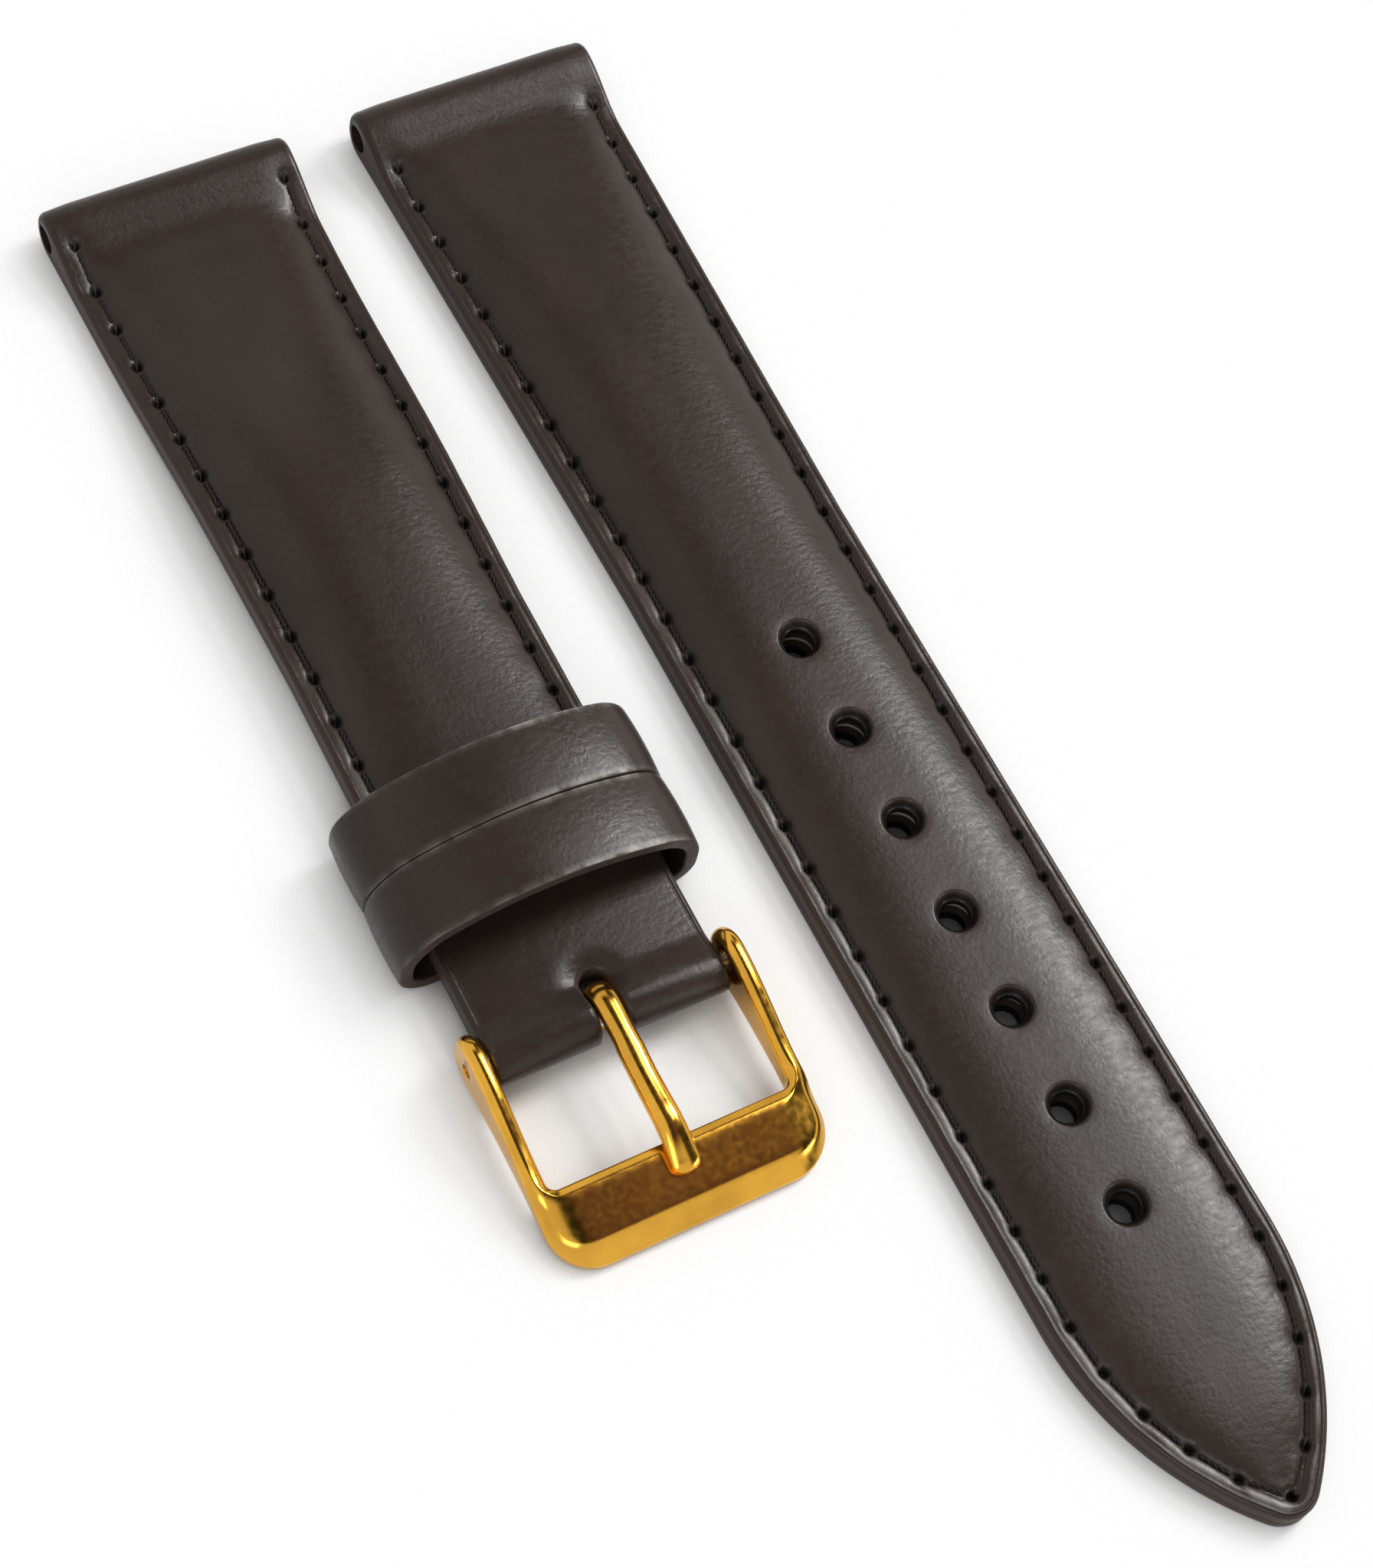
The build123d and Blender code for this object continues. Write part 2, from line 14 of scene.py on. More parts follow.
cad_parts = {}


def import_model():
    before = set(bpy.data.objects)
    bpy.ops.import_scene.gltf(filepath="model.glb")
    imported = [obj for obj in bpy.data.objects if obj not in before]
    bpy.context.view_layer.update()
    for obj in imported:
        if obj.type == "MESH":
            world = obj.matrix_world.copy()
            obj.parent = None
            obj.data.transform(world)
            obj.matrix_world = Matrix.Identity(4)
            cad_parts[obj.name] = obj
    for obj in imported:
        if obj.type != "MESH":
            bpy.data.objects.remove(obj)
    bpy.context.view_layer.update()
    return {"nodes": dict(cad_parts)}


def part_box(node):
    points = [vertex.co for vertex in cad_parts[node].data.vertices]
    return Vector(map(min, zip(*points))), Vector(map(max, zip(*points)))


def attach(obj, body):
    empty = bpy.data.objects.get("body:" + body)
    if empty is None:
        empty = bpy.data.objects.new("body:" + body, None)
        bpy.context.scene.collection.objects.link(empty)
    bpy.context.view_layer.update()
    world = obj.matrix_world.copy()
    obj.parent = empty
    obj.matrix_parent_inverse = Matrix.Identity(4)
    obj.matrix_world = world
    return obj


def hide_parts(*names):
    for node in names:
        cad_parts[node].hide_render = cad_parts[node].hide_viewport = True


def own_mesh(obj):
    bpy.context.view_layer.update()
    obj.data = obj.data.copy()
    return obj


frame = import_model()

MM = 0.001

# Sizes read from the frame
long_low, long_high = (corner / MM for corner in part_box("long_upper_leather"))
short_low, short_high = (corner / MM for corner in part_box("short_upper_leather"))
LUG_LINE = long_high.y
LONG_X = (long_low.x + long_high.x) / 2
SHORT_X = (short_low.x + short_high.x) / 2
LONG_LENGTH = LUG_LINE - long_low.y
SHORT_LENGTH = LUG_LINE - short_low.y
LUG_HALF = (long_high.x - long_low.x) / 2

# Leather layers
BUCKLE_HALF = 8.0
LINING = 0.9
TAPE = 0.25
GLUE = 0.05
UPPER = 1.1
SEAT = LINING + GLUE
EDGE = SEAT + UPPER

# Lug end
ROLL_RADIUS = 1.75
TUNNEL_RADIUS = 1.0
ROLL_CREST = 1.75
ROLL_CREST_HEIGHT = 3.75
ROLL_END = 7.5
ROLL_EDGE_ROUND = 0.15
ROLL_EDGE_FADE = (1, ROLL_END - 1)
ROLL_END_FALL = 0.1
ROLL_END_REACH = 2.4
LUG_FLAP = 9.0

# Crown of both parts, as shares of a span and of the full height
CROWN = 4.0
CROWN_FOOT = 1.4
CROWN_FULLNESS = 2.7
LUG_FULLNESS = 4.6
LUG_FULLNESS_END = 24.0
HOLLOW_START = 11.0
HOLLOW_INSET = 2.1
LUG_CROWN = (
    (ROLL_CREST, 0.9375), (2.3, 0.92), (3.3, 0.84), (4.6, 0.76), (8.0, 0.77), (12.0, 0.85),
    (17.0, 0.93), (24.0, 1.0),
)
LONG_CROWN = ((0.305, 1.0), (0.455, 0.93), (0.61, 0.83), (0.76, 0.75), (0.91, 0.70))
TIP_CROWN = ((0.31, 0.66), (0.69, 0.61), (0.98, 0.50))
TIP_CROWN_END = 1.6
SHORT_CROWN = ((0.42, 1.0), (0.585, 0.93), (0.725, 0.80), (0.84, 0.70), (0.93, 0.64), (1.0, 0.6))

# Long part
LONG_TAPER = 42.0
TIP_LENGTH = 16.5
TIP_RADIUS = 2.2
TIP_START = LONG_LENGTH - TIP_LENGTH

# Punched holes
HOLE_COUNT = 7
HOLE_PITCH = 7.0
LAST_HOLE_SETBACK = 20.6
HOLE_RADIUS = 1.0
RIM_REACH = 0.5
RIM_DEPTH = 0.6
RIM_SWELL = 0.05
RIM_SWELL_PLACE = 1.2
RIM_SWELL_WIDTH = 0.5
RIM_REACHES = (1.9, 1.75, 1.64, 1.56, 1.5, 1.44, 1.38, 1.31, 1.24, 1.17, 1.1, 1.04)
RIM_SHADE = 0.9
RIM_SHADE_END = 1.42
RIM_SHADE_SOFT = 0.25
WALL_LIP = 0.06
WALL_SHARES = (0, 0.33, 0.66, 1)
UNDER_REACHES = (1.3, 1.7)
LINING_HOLE_RADIUS = 0.95
HOLE_LIP = 0.15
BOARD_HOLE_RADIUS = 1.4
FIRST_HOLE = LONG_LENGTH - LAST_HOLE_SETBACK - (HOLE_COUNT - 1) * HOLE_PITCH
HOLE_PLACES = FIRST_HOLE + HOLE_PITCH * np.arange(HOLE_COUNT)

# Short part
SHORT_TAPER = 40.0
CLIMB_SPAN = (10.0, 30.0)
CLIMB = 1.4
TAB_START = SHORT_LENGTH - 10.0
TAB_BLEND = 4.0
TAB_HALF = 7.9
TAB_THICKNESS = 2.4
TAB_FLAP = SHORT_LENGTH - 14.0
TAB_FLAP_LEAD = 2.0
FOLD_RADIUS = 1.7
FOLD_BLEND = 2.3
BAR_PLACE = SHORT_LENGTH - FOLD_RADIUS
BAR_HEIGHT = CLIMB + TAB_THICKNESS / 2
BAR_RADIUS = 0.8
TAB_CROWN = 0.7
SLOT_HALF = 0.88
SLOT_START = SHORT_LENGTH - 4.35
SLOT_SOFT = 0.3
DENT_DEPTH = 0.4
DENT_REACH = 0.9
DENT_FADE = (1, 3)

# Edges, margin and seams; a fade is a pair of places, counted from where it belongs
EDGE_ROUND = 0.34
BELOW_ROUND = 0.22
JOINT_ROUND = 0.03
JOINT_GAP = 0.01
CREASE_INSET = 0.47
CREASE_WIDTH = 0.085
CREASE_DEPTH = 0.05
CREASE_FADE = (-2.5, 3.5)
SEAM_INSET = 1.25
SEAM_WIDTH = 0.24
SEAM_DEPTH = 0.2
SEAM_SHALLOW = 0.4
SEAM_FADE = (7.0, 30.0)
SEAM_IN = (-0.5, 0.3)
SEAM_OUT = (-0.2, 0.6)
LONG_SEAM_START = 5.5
SHORT_SEAM_START = 3.8
SHORT_SEAM_END = SHORT_LENGTH - 16.0
STITCH_PITCH = 3.3
NEEDLE_RADIUS = 0.34
NEEDLE_DEPTH = 0.5
NEEDLE_SPREAD = 0.272
NEEDLE_SHADE = 0.42
DIMPLE_DEPTH = 0.1
DIMPLE_REACH = 0.9
LOW_GROOVE = 0.16
LOW_GROOVE_END = SHORT_SEAM_END + 0.4
LOW_NEEDLE = 0.3
# Painted highlight on the margin: a pale band on the left side and a thin line beside the crease
SHEEN_BAND = 0.45
SHEEN_BAND_INSET = 0.8
SHEEN_BAND_WIDTH = 0.22
SHEEN_BAND_SPAN = (36, 66)
SHEEN_LINE = 0.2
SHEEN_LINE_INSET = CREASE_INSET + 0.1
SHEEN_LINE_WIDTH = 0.07
SHEEN_LINE_SPAN = (24, 54)
SHEEN_FADE = (SHORT_SEAM_END - 1, SHORT_SEAM_END + 1)

# Mesh steps
ROW = 0.2
MARGIN = 2.0
MARGIN_STEPS = (
    0, 0.02, 0.06, 0.12, 0.2, 0.28, 0.34, 0.39, 0.43, 0.47, 0.51, 0.55, 0.62, 0.72, 0.82,
    0.92, 1.0, 1.08, 1.15, 1.22, 1.3, 1.38, 1.48, 1.6, 1.78, MARGIN,
)
COARSE_MARGIN = (0, 0.03, 0.1, 0.22, 0.5, 0.8, 0.95, 1.05, 1.15, 1.25, 1.35, 1.5, 1.75, MARGIN)
CENTRE_STEP = 0.25
CENTRE_COUNT = round(2 * (BUCKLE_HALF - MARGIN) / CENTRE_STEP)
CENTRE_SHARES = np.linspace(-1, 1, CENTRE_COUNT + 1)[1:-1]
TIP_STEPS = round(5 * TIP_RADIUS / ROW)
NOSE_TURNS = np.linspace(0, math.pi / 2, 15)
SLOT_TURNS = np.linspace(0, math.pi / 2, 14)
WALLS = 2
UPPER_EDGE_COLUMNS = 3
LINING_EDGE_COLUMNS = 2
TAB_EDGE_COLUMNS = 1
EDGE_SLACK = 0.6
MERGE = 0.003
FINE_MERGE = 0.0001
BORE_SIDES = 48
PUNCH_SIDES = 40
SEAM_SAMPLES = 200
FAR = 9.0
TINY = 1e-9


def rise(at, start, end):
    """Climbs smoothly from 0 at the start to 1 at the end."""
    share = np.clip((at - start) / (end - start), 0, 1)
    return share * share * (3 - 2 * share)


def smooth_table(pairs, at):
    """A smooth curve through (place, value) pairs, read at an array of places."""
    x, y = np.array(pairs, float).T
    slope = np.gradient(y, x)
    i = np.clip(np.searchsorted(x, at) - 1, 0, len(x) - 2)
    h = x[i + 1] - x[i]
    t = np.clip((at - x[i]) / h, 0, 1)
    near = (2 * t**3 - 3 * t**2 + 1) * y[i] + (t**3 - 2 * t**2 + t) * h * slope[i]
    far = (3 * t**2 - 2 * t**3) * y[i + 1] + (t**3 - t**2) * h * slope[i + 1]
    return near + far


def rounding(distance, radius):
    """How far a rounded edge lies below the flat it leads to."""
    share = np.clip(distance / radius, 0, 1)
    return radius * (1 - np.sqrt(1 - (1 - share) ** 2))


def bump(distance, width):
    return np.exp(-((distance / width) ** 2))


def run_along(points):
    """Length of a line up to each of its points."""
    return np.concatenate([[0], np.cumsum(np.linalg.norm(np.diff(points, axis=0), axis=1))])


def resample(points, count):
    """Evenly spaced points along a plane line, whose further columns follow it."""
    points = np.array(points, float)
    run = run_along(points[:, :2])
    at = np.linspace(0, run[-1], count)
    return np.stack([np.interp(at, run, column) for column in points.T], axis=1)


def unit(vectors):
    return vectors / np.linalg.norm(vectors, axis=-1, keepdims=True)


class Skin:
    """Collects blocks of a closed surface and joins them where they meet."""

    def __init__(self, name, centre_x):
        self.name = name
        self.centre_x = centre_x
        self.points = []
        self.faces = []
        self.finishes = []
        # Point marks: hole is painted shade in the holes, the second mark a painted highlight on
        # margins and keeper edges
        self.marks = {"hole": [], "rub": []}
        self.count = 0

    def block(self, x, s, z, keep=None, finish=0, shade=None, rub=None):
        """A grid of points whose rows are closed rounds."""
        place = np.stack([self.centre_x + x, LUG_LINE - s, z], axis=-1).reshape(-1, 3)
        self.points.append(place)
        for name, values in (("hole", shade), ("rub", rub)):
            self.marks[name].append(np.zeros(x.size) if values is None else values.ravel())
        index = self.count + np.arange(x.size).reshape(x.shape)
        self.count += x.size
        near = np.concatenate([index, index[:, :1]], axis=1)
        quads = np.stack([near[:-1, :-1], near[1:, :-1], near[1:, 1:], near[:-1, 1:]], axis=-1)
        keep = np.ones(quads.shape[:2], bool) if keep is None else keep
        self.faces += quads[keep].tolist()
        self.finishes += np.broadcast_to(finish, keep.shape)[keep].tolist()
        return index

    def cap(self, loop, finish=0):
        self.faces.append(loop.tolist())
        self.finishes.append(finish)

    def tube(self, x, s, z, ends=0, **marks):
        """A block with a face over its first row and one over its last."""
        index = self.block(x, s, z, **marks)
        self.cap(index[0], ends)
        self.cap(index[-1], ends)

    def rings(self, rings, **marks):
        """A block given as rounds of points."""
        self.block(*(np.array(part) for part in zip(*rings)), **marks)

    def build(self, materials, body, replaces, merge=MERGE):
        mesh = bpy.data.meshes.new(self.name)
        mesh.from_pydata((np.concatenate(self.points) * MM).tolist(), [], self.faces)
        for material in materials:
            mesh.materials.append(material)
        mesh.polygons.foreach_set("material_index", self.finishes)
        for name, values in self.marks.items():
            layer = mesh.attributes.new(name, "FLOAT", "POINT")
            layer.data.foreach_set("value", np.concatenate(values).astype(np.float32))
        tidy(mesh, merge * MM)
        piece = bpy.data.objects.new(self.name, mesh)
        bpy.context.scene.collection.objects.link(piece)
        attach(piece, body)
        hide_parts(*replaces)
        return piece


def tidy(mesh, merge):
    """Joins points that meet, drops faces with no area and turns all faces outwards."""
    work = bmesh.new()
    work.from_mesh(mesh)
    bmesh.ops.remove_doubles(work, verts=work.verts, dist=merge)
    bmesh.ops.dissolve_degenerate(work, edges=work.edges, dist=merge / 10)
    bmesh.ops.recalc_face_normals(work, faces=work.faces)
    work.to_mesh(mesh)
    work.free()
    mesh.shade_smooth()


def cut_rounds(piece, spots, radius, depth, sides, turn):
    """Cuts a round hole through a piece at each spot."""
    mesh = bpy.data.meshes.new("cutter")
    work = bmesh.new()
    for spot in spots:
        bmesh.ops.create_cone(
            work, cap_ends=True, segments=sides, radius1=radius * MM, radius2=radius * MM,
            depth=depth * MM, matrix=Matrix.Translation(Vector(spot) * MM) @ turn,
        )
    work.to_mesh(mesh)
    work.free()
    cutter = bpy.data.objects.new("cutter", mesh)
    bpy.context.scene.collection.objects.link(cutter)
    cut = piece.modifiers.new("cut", "BOOLEAN")
    cut.operation = "DIFFERENCE"
    cut.solver = "EXACT"
    cut.object = cutter
    bpy.context.view_layer.objects.active = piece
    bpy.ops.object.modifier_apply(modifier=cut.name)
    bpy.data.objects.remove(cutter)


def bore(piece, centre_x, radius, place, height):
    """Cuts a round tunnel right across the strap."""
    spot = (centre_x, LUG_LINE - place, height)
    across = Matrix.Rotation(math.pi / 2, 4, "Y")
    cut_rounds(piece, [spot], radius, 3 * LUG_HALF, BORE_SIDES, across)


def punch(piece):
    """Cuts the strap's holes through an inner layer."""
    spots = [(LONG_X, LUG_LINE - place, CROWN / 2) for place in HOLE_PLACES]
    cut_rounds(piece, spots, BOARD_HOLE_RADIUS, 2 * CROWN, PUNCH_SIDES, Matrix.Identity(4))


# Outlines of the two parts, as rows of right-hand edge points with their inward directions


def tapered_half(s, taper_end):
    return LUG_HALF + (BUCKLE_HALF - LUG_HALF) * np.clip(s / taper_end, 0, 1)


def tip_arc():
    """Radius of the tip's side arcs and the turn at which they meet the end's arc."""
    reach = TIP_LENGTH - TIP_RADIUS
    radius = (BUCKLE_HALF**2 + reach**2 - TIP_RADIUS**2) / (2 * (BUCKLE_HALF - TIP_RADIUS))
    return radius, math.asin(reach / (radius - TIP_RADIUS))


def long_edge_distance(x, s):
    """Distance of a point from the long part's edge."""
    x = np.abs(x)
    radius, turn = tip_arc()
    straight = tapered_half(s, LONG_TAPER) - x
    across, along = x - (BUCKLE_HALF - radius), s - TIP_START
    side = radius - np.hypot(across, along)
    end = TIP_RADIUS - np.hypot(x, s - (LONG_LENGTH - TIP_RADIUS))
    tip = np.where(np.arctan2(along, across) <= turn, side, end)
    return np.where(s <= TIP_START, straight, tip)


def tab_share(s):
    return rise(s, TAB_START - TAB_BLEND, TAB_START)


def fold_share(s):
    return rise(s, BAR_PLACE - FOLD_BLEND, BAR_PLACE)


def short_half(s):
    tab = BUCKLE_HALF + (TAB_HALF - BUCKLE_HALF) * tab_share(s)
    return np.where(s < TAB_START - TAB_BLEND, tapered_half(s, SHORT_TAPER), tab)


def short_edge_distance(x, s):
    return short_half(s) - np.abs(x)


def first_row(start):
    """The first place after a start from which even rows meet the middles of the holes."""
    return FIRST_HOLE - ROW * math.floor((FIRST_HOLE - start) / ROW)


def long_outline(start, inset=0.0):
    """Edge points and inward directions from a place to the tip, evenly spaced."""
    radius, turn = tip_arc()
    s = np.arange(start, TIP_START, ROW)
    rows = [np.stack([tapered_half(s, LONG_TAPER), s, 0 * s - 1, 0 * s], axis=1)]
    side = np.linspace(0, turn, round(radius * turn / ROW))
    end = np.linspace(turn, math.pi / 2, TIP_STEPS)[1:]
    for angle, x, place, reach in (
        (side, BUCKLE_HALF - radius, TIP_START, radius),
        (end, 0, LONG_LENGTH - TIP_RADIUS, TIP_RADIUS),
    ):
        out = np.stack([np.cos(angle), np.sin(angle)], axis=1)
        rows.append(np.concatenate([(x, place) + reach * out, -out], axis=1))
    rows = np.concatenate(rows)
    rows[:, :2] += rows[:, 2:] * inset
    return rows


def straight_outline(places, half_at, inset=0.0):
    """The same for a stretch whose rows all run straight across."""
    return np.stack([half_at(places) - inset, places, 0 * places - 1, 0 * places], axis=1)


def plan_grid(outline, margins=MARGIN_STEPS):
    """Plan positions from the left edge to the right one, one row for each edge point."""
    margins = np.array(margins)
    edge_x, edge_s, in_x, in_s = outline.T[:, :, None]
    right_x = edge_x + in_x * margins
    right_s = edge_s + in_s * margins
    inner_x, inner_s = right_x[:, -1:], right_s[:, -1:]
    x = np.concatenate([-right_x, inner_x * CENTRE_SHARES, right_x[:, ::-1]], axis=1)
    s = np.concatenate([right_s, inner_s + 0 * CENTRE_SHARES, right_s[:, ::-1]], axis=1)
    return x, s


# Heights of the long part's surfaces


def roll_height(s):
    """The fall from the lug roll to the flat margin."""
    return EDGE + (ROLL_CREST_HEIGHT - EDGE) * (1 - rise(s, ROLL_CREST, ROLL_END))


def edge_round(s):
    """Radius of the top edge, which is softer on the roll."""
    return EDGE_ROUND + ROLL_EDGE_ROUND * (1 - rise(s, *ROLL_EDGE_FADE))


def roll_end_fall(distance, s):
    """The roll's two ends bend down a little."""
    share = 1 - rise(distance, 0, ROLL_END_REACH)
    return ROLL_END_FALL * share * (1 - rise(s, ROLL_CREST, ROLL_END))


def crown_table(*spans):
    """Places and heights along the crown: the lug end's, then those of each span."""
    table = [(place, height * CROWN) for place, height in LUG_CROWN]
    for pairs, start, end in spans:
        table += [(start + (end - start) * share, height * CROWN) for share, height in pairs]
    return table


LONG_CROWN_TABLE = crown_table(
    (LONG_CROWN, 0, TIP_START), (TIP_CROWN, TIP_START, LONG_LENGTH - TIP_CROWN_END)
)
SHORT_CROWN_TABLE = crown_table((SHORT_CROWN, 0, TAB_START))


def crown_rise(distance, s, deepest):
    """Share of the crown's height at a distance from the edge, softer near the lug end."""
    reach = np.maximum(np.minimum(deepest, BUCKLE_HALF) - CROWN_FOOT, CROWN_FOOT)
    share = np.clip((distance - CROWN_FOOT) / reach, 0, 1)
    full = LUG_FULLNESS + (CROWN_FULLNESS - LUG_FULLNESS) * rise(s, 0, LUG_FULLNESS_END)
    return 1 - (1 - share) ** full


def seam_depth(s):
    """The groove starts shallow at the lug end."""
    return SEAM_DEPTH * (SEAM_SHALLOW + (1 - SEAM_SHALLOW) * rise(s, *SEAM_FADE))


def seam_shape(x, s, distance, holes, start, end):
    """How far the seam's groove, its needle holes and the margin's crease lie below the top."""
    along = rise(s - start, *SEAM_IN) * (1 - rise(s - end, *SEAM_OUT))
    groove = seam_depth(s) * bump(distance - SEAM_INSET, SEAM_WIDTH) * along
    crease = CREASE_DEPTH * bump(distance - CREASE_INSET, CREASE_WIDTH)
    near = needle_distance(x, s, distance, holes)
    needle = NEEDLE_DEPTH * bump(near, NEEDLE_SPREAD) + DIMPLE_DEPTH * bump(near, DIMPLE_REACH)
    return groove + crease * rise(s - ROLL_END, *CREASE_FADE) + needle


def needle_distance(x, s, distance, holes):
    """Distance to the nearest needle hole, worked out only beside the seam."""
    near = np.full(x.shape, FAR)
    beside = np.abs(distance - SEAM_INSET) < MARGIN
    px, ps = np.abs(x[beside]), s[beside]
    best = np.full(px.shape, FAR)
    for hole_x, hole_s in holes:
        best = np.minimum(best, np.hypot(px - hole_x, ps - hole_s))
    near[beside] = best
    return near


def seam_places(outline):
    """Needle holes along an inset edge line, evenly spaced and about a pitch apart."""
    line = outline[:, :2]
    return resample(line, round(run_along(line)[-1] / STITCH_PITCH) + 1)


LONG_NEEDLE = seam_places(long_outline(LONG_SEAM_START, SEAM_INSET))
SHORT_NEEDLE = seam_places(
    straight_outline(
        np.linspace(SHORT_SEAM_START, SHORT_SEAM_END, SEAM_SAMPLES), short_half, SEAM_INSET
    )
)


def long_top(x, s):
    distance = long_edge_distance(x, s)
    margin = roll_height(s)
    height = np.maximum(smooth_table(LONG_CROWN_TABLE, s), margin)
    share = crown_rise(distance, s, long_edge_distance(0 * x, s))
    z = margin + (height - margin) * share
    z = z - rounding(distance, edge_round(s)) - roll_end_fall(distance, s)
    return z - seam_shape(x, s, distance, LONG_NEEDLE, LONG_SEAM_START, 2 * LONG_LENGTH)


def underside(distance, top, folded, flat):
    """The upper's underside: on the surface where folded back, else hollow over the padding."""
    hollow = np.where(distance > HOLLOW_INSET, np.maximum(SEAT, top - UPPER), SEAT)
    base = np.where(folded, 0.0, np.where(flat, SEAT, hollow))
    return base + rounding(distance, np.where(folded, BELOW_ROUND, JOINT_ROUND))


def long_bottom(x, s):
    distance = long_edge_distance(x, s)
    return underside(distance, long_top(x, s), s <= LUG_FLAP, s < HOLLOW_START)


# Heights of the short part's surfaces


def short_rise(s):
    return CLIMB * rise(s, *CLIMB_SPAN)


def slot_distance(x, s):
    """Distance from the wall of the slot that the tongue works in."""
    middle = SLOT_START + SLOT_HALF
    return np.where(s < middle, np.hypot(x, s - middle), np.abs(x)) - SLOT_HALF


def slot_dent(x, s):
    """The leather is pressed down softly round the slot."""
    near = np.maximum(slot_distance(x, s), 0)
    return DENT_DEPTH * bump(near, DENT_REACH) * (1 - rise(s - SLOT_START, *DENT_FADE))


def short_margin(s):
    """Height of the short part's edge, without its rise, up to the fold."""
    tab = EDGE + (TAB_THICKNESS - EDGE) * tab_share(s)
    fold = (FOLD_RADIUS - TAB_THICKNESS / 2) * fold_share(s)
    return np.where(s < TAB_START - TAB_BLEND, roll_height(s), tab + fold)


def short_top(x, s):
    distance = short_edge_distance(x, s)
    margin = short_margin(s)
    height = np.maximum(smooth_table(SHORT_CROWN_TABLE, s), margin)
    height = np.where(s > TAB_START, margin, height)
    z = margin + (height - margin) * crown_rise(distance, s, short_half(s))
    z = z - TAB_CROWN * (x / TAB_HALF) ** 2 * tab_share(s)
    z = z - rounding(distance, edge_round(s)) - rounding(slot_distance(x, s), SLOT_SOFT)
    z = z - roll_end_fall(distance, s) - slot_dent(x, s)
    z = z - seam_shape(x, s, distance, SHORT_NEEDLE, SHORT_SEAM_START, SHORT_SEAM_END)
    return z + short_rise(s)


def short_bottom(x, s):
    folded = (s <= LUG_FLAP) | (s > TAB_FLAP)
    flat = (s < HOLLOW_START) | (s > TAB_FLAP - TAB_FLAP_LEAD)
    top = short_top(x, s) - short_rise(s)
    base = underside(short_edge_distance(x, s), top, folded, flat)
    base = base - (FOLD_RADIUS - TAB_THICKNESS / 2) * fold_share(s)
    return base + rounding(slot_distance(x, s), BELOW_ROUND) + short_rise(s)


# Loops round a strap layer


def wall_points(near, far):
    """Points between the matched points of two edges."""
    share = np.linspace(0, 1, WALLS + 2)[1:-1]
    return [a[:, None] + (b - a)[:, None] * share for a, b in zip(near, far)]


def loops(top, low):
    """Closed rows: over the top, down the right wall, back underneath and up the left wall."""
    right = wall_points([part[:, -1] for part in top], [part[:, -1] for part in low])
    left = wall_points([part[:, 0] for part in low], [part[:, 0] for part in top])
    return [
        np.concatenate([t, r, b[:, ::-1], l], axis=1) for t, r, b, l in zip(top, right, low, left)
    ]


def nose_rows(x, radius, place, height, climb, direction, drop_top, drop_low):
    """Rows round a rolled end, from its foremost line to its crest above and its foot below."""
    x = np.broadcast_to(x, (len(NOSE_TURNS), x.size))
    out, up = np.cos(NOSE_TURNS)[:, None], np.sin(NOSE_TURNS)[:, None]
    low_radius = radius - drop_low * up - drop_top * (1 - up)
    top = [x, place + direction * (radius - drop_top) * out, height + (climb - drop_top) * up]
    low = [x, place + direction * low_radius * out, height - low_radius * up]
    return loops(top, low)


def loop_finish(x, edge_columns):
    """Finish of each face in a block of loops: 1 for the painted edge, else leather."""
    rows, total = x.shape
    finish = np.zeros(total, int)
    for centre in ((total - WALLS - 1) / 2, total - (WALLS + 1) / 2):
        span = np.abs(np.arange(total) + 0.5 - centre)
        span = np.minimum(span, total - span)
        finish[span <= WALLS / 2 + EDGE_SLACK + edge_columns] = 1
    return np.broadcast_to(finish, (rows - 1, total))


# Painted shade at each needle hole
def needle_shade(x, s, distance, holes):
    near = needle_distance(x, s, distance, holes)
    return np.exp(-((near / NEEDLE_SHADE) ** 4))


def margin_rub(x, s, distance):
    """Painted highlight on the margin: a band beside the crease and a thin edge line."""
    band = SHEEN_BAND * (x < 0) * bump(distance - SHEEN_BAND_INSET, SHEEN_BAND_WIDTH)
    line = SHEEN_LINE * bump(distance - SHEEN_LINE_INSET, SHEEN_LINE_WIDTH)
    return np.clip(band * rise(s, *SHEEN_BAND_SPAN) + line * rise(s, *SHEEN_LINE_SPAN), 0, 1)


def top_marks(shade, rub):
    """Marks of painted shade and painted highlight on a block's top, with none on its walls and
    underside.
    """
    rest = np.zeros((len(rub), rub.shape[1] + 2 * WALLS))
    marks = {"shade": shade, "rub": rub}
    return {name: np.concatenate([part, rest], axis=1) for name, part in marks.items()}


def ring(window, level, reach=None, drop=0):
    """A round of points about a punched hole: its window's rim, or a circle of the reach."""
    x, s, place = window
    if reach:
        angle = np.arctan2(s - place, x)
        x, s = reach * np.cos(angle), place + reach * np.sin(angle)
    return x, s, level(x, s) - drop


def rim_drop(reach):
    """How far the leather is pressed down at a distance from a hole's middle."""
    dish = RIM_DEPTH * (1 - rise(reach, HOLE_RADIUS, HOLE_RADIUS + RIM_REACH))
    return dish + RIM_SWELL * bump(reach - RIM_SWELL_PLACE, RIM_SWELL_WIDTH)


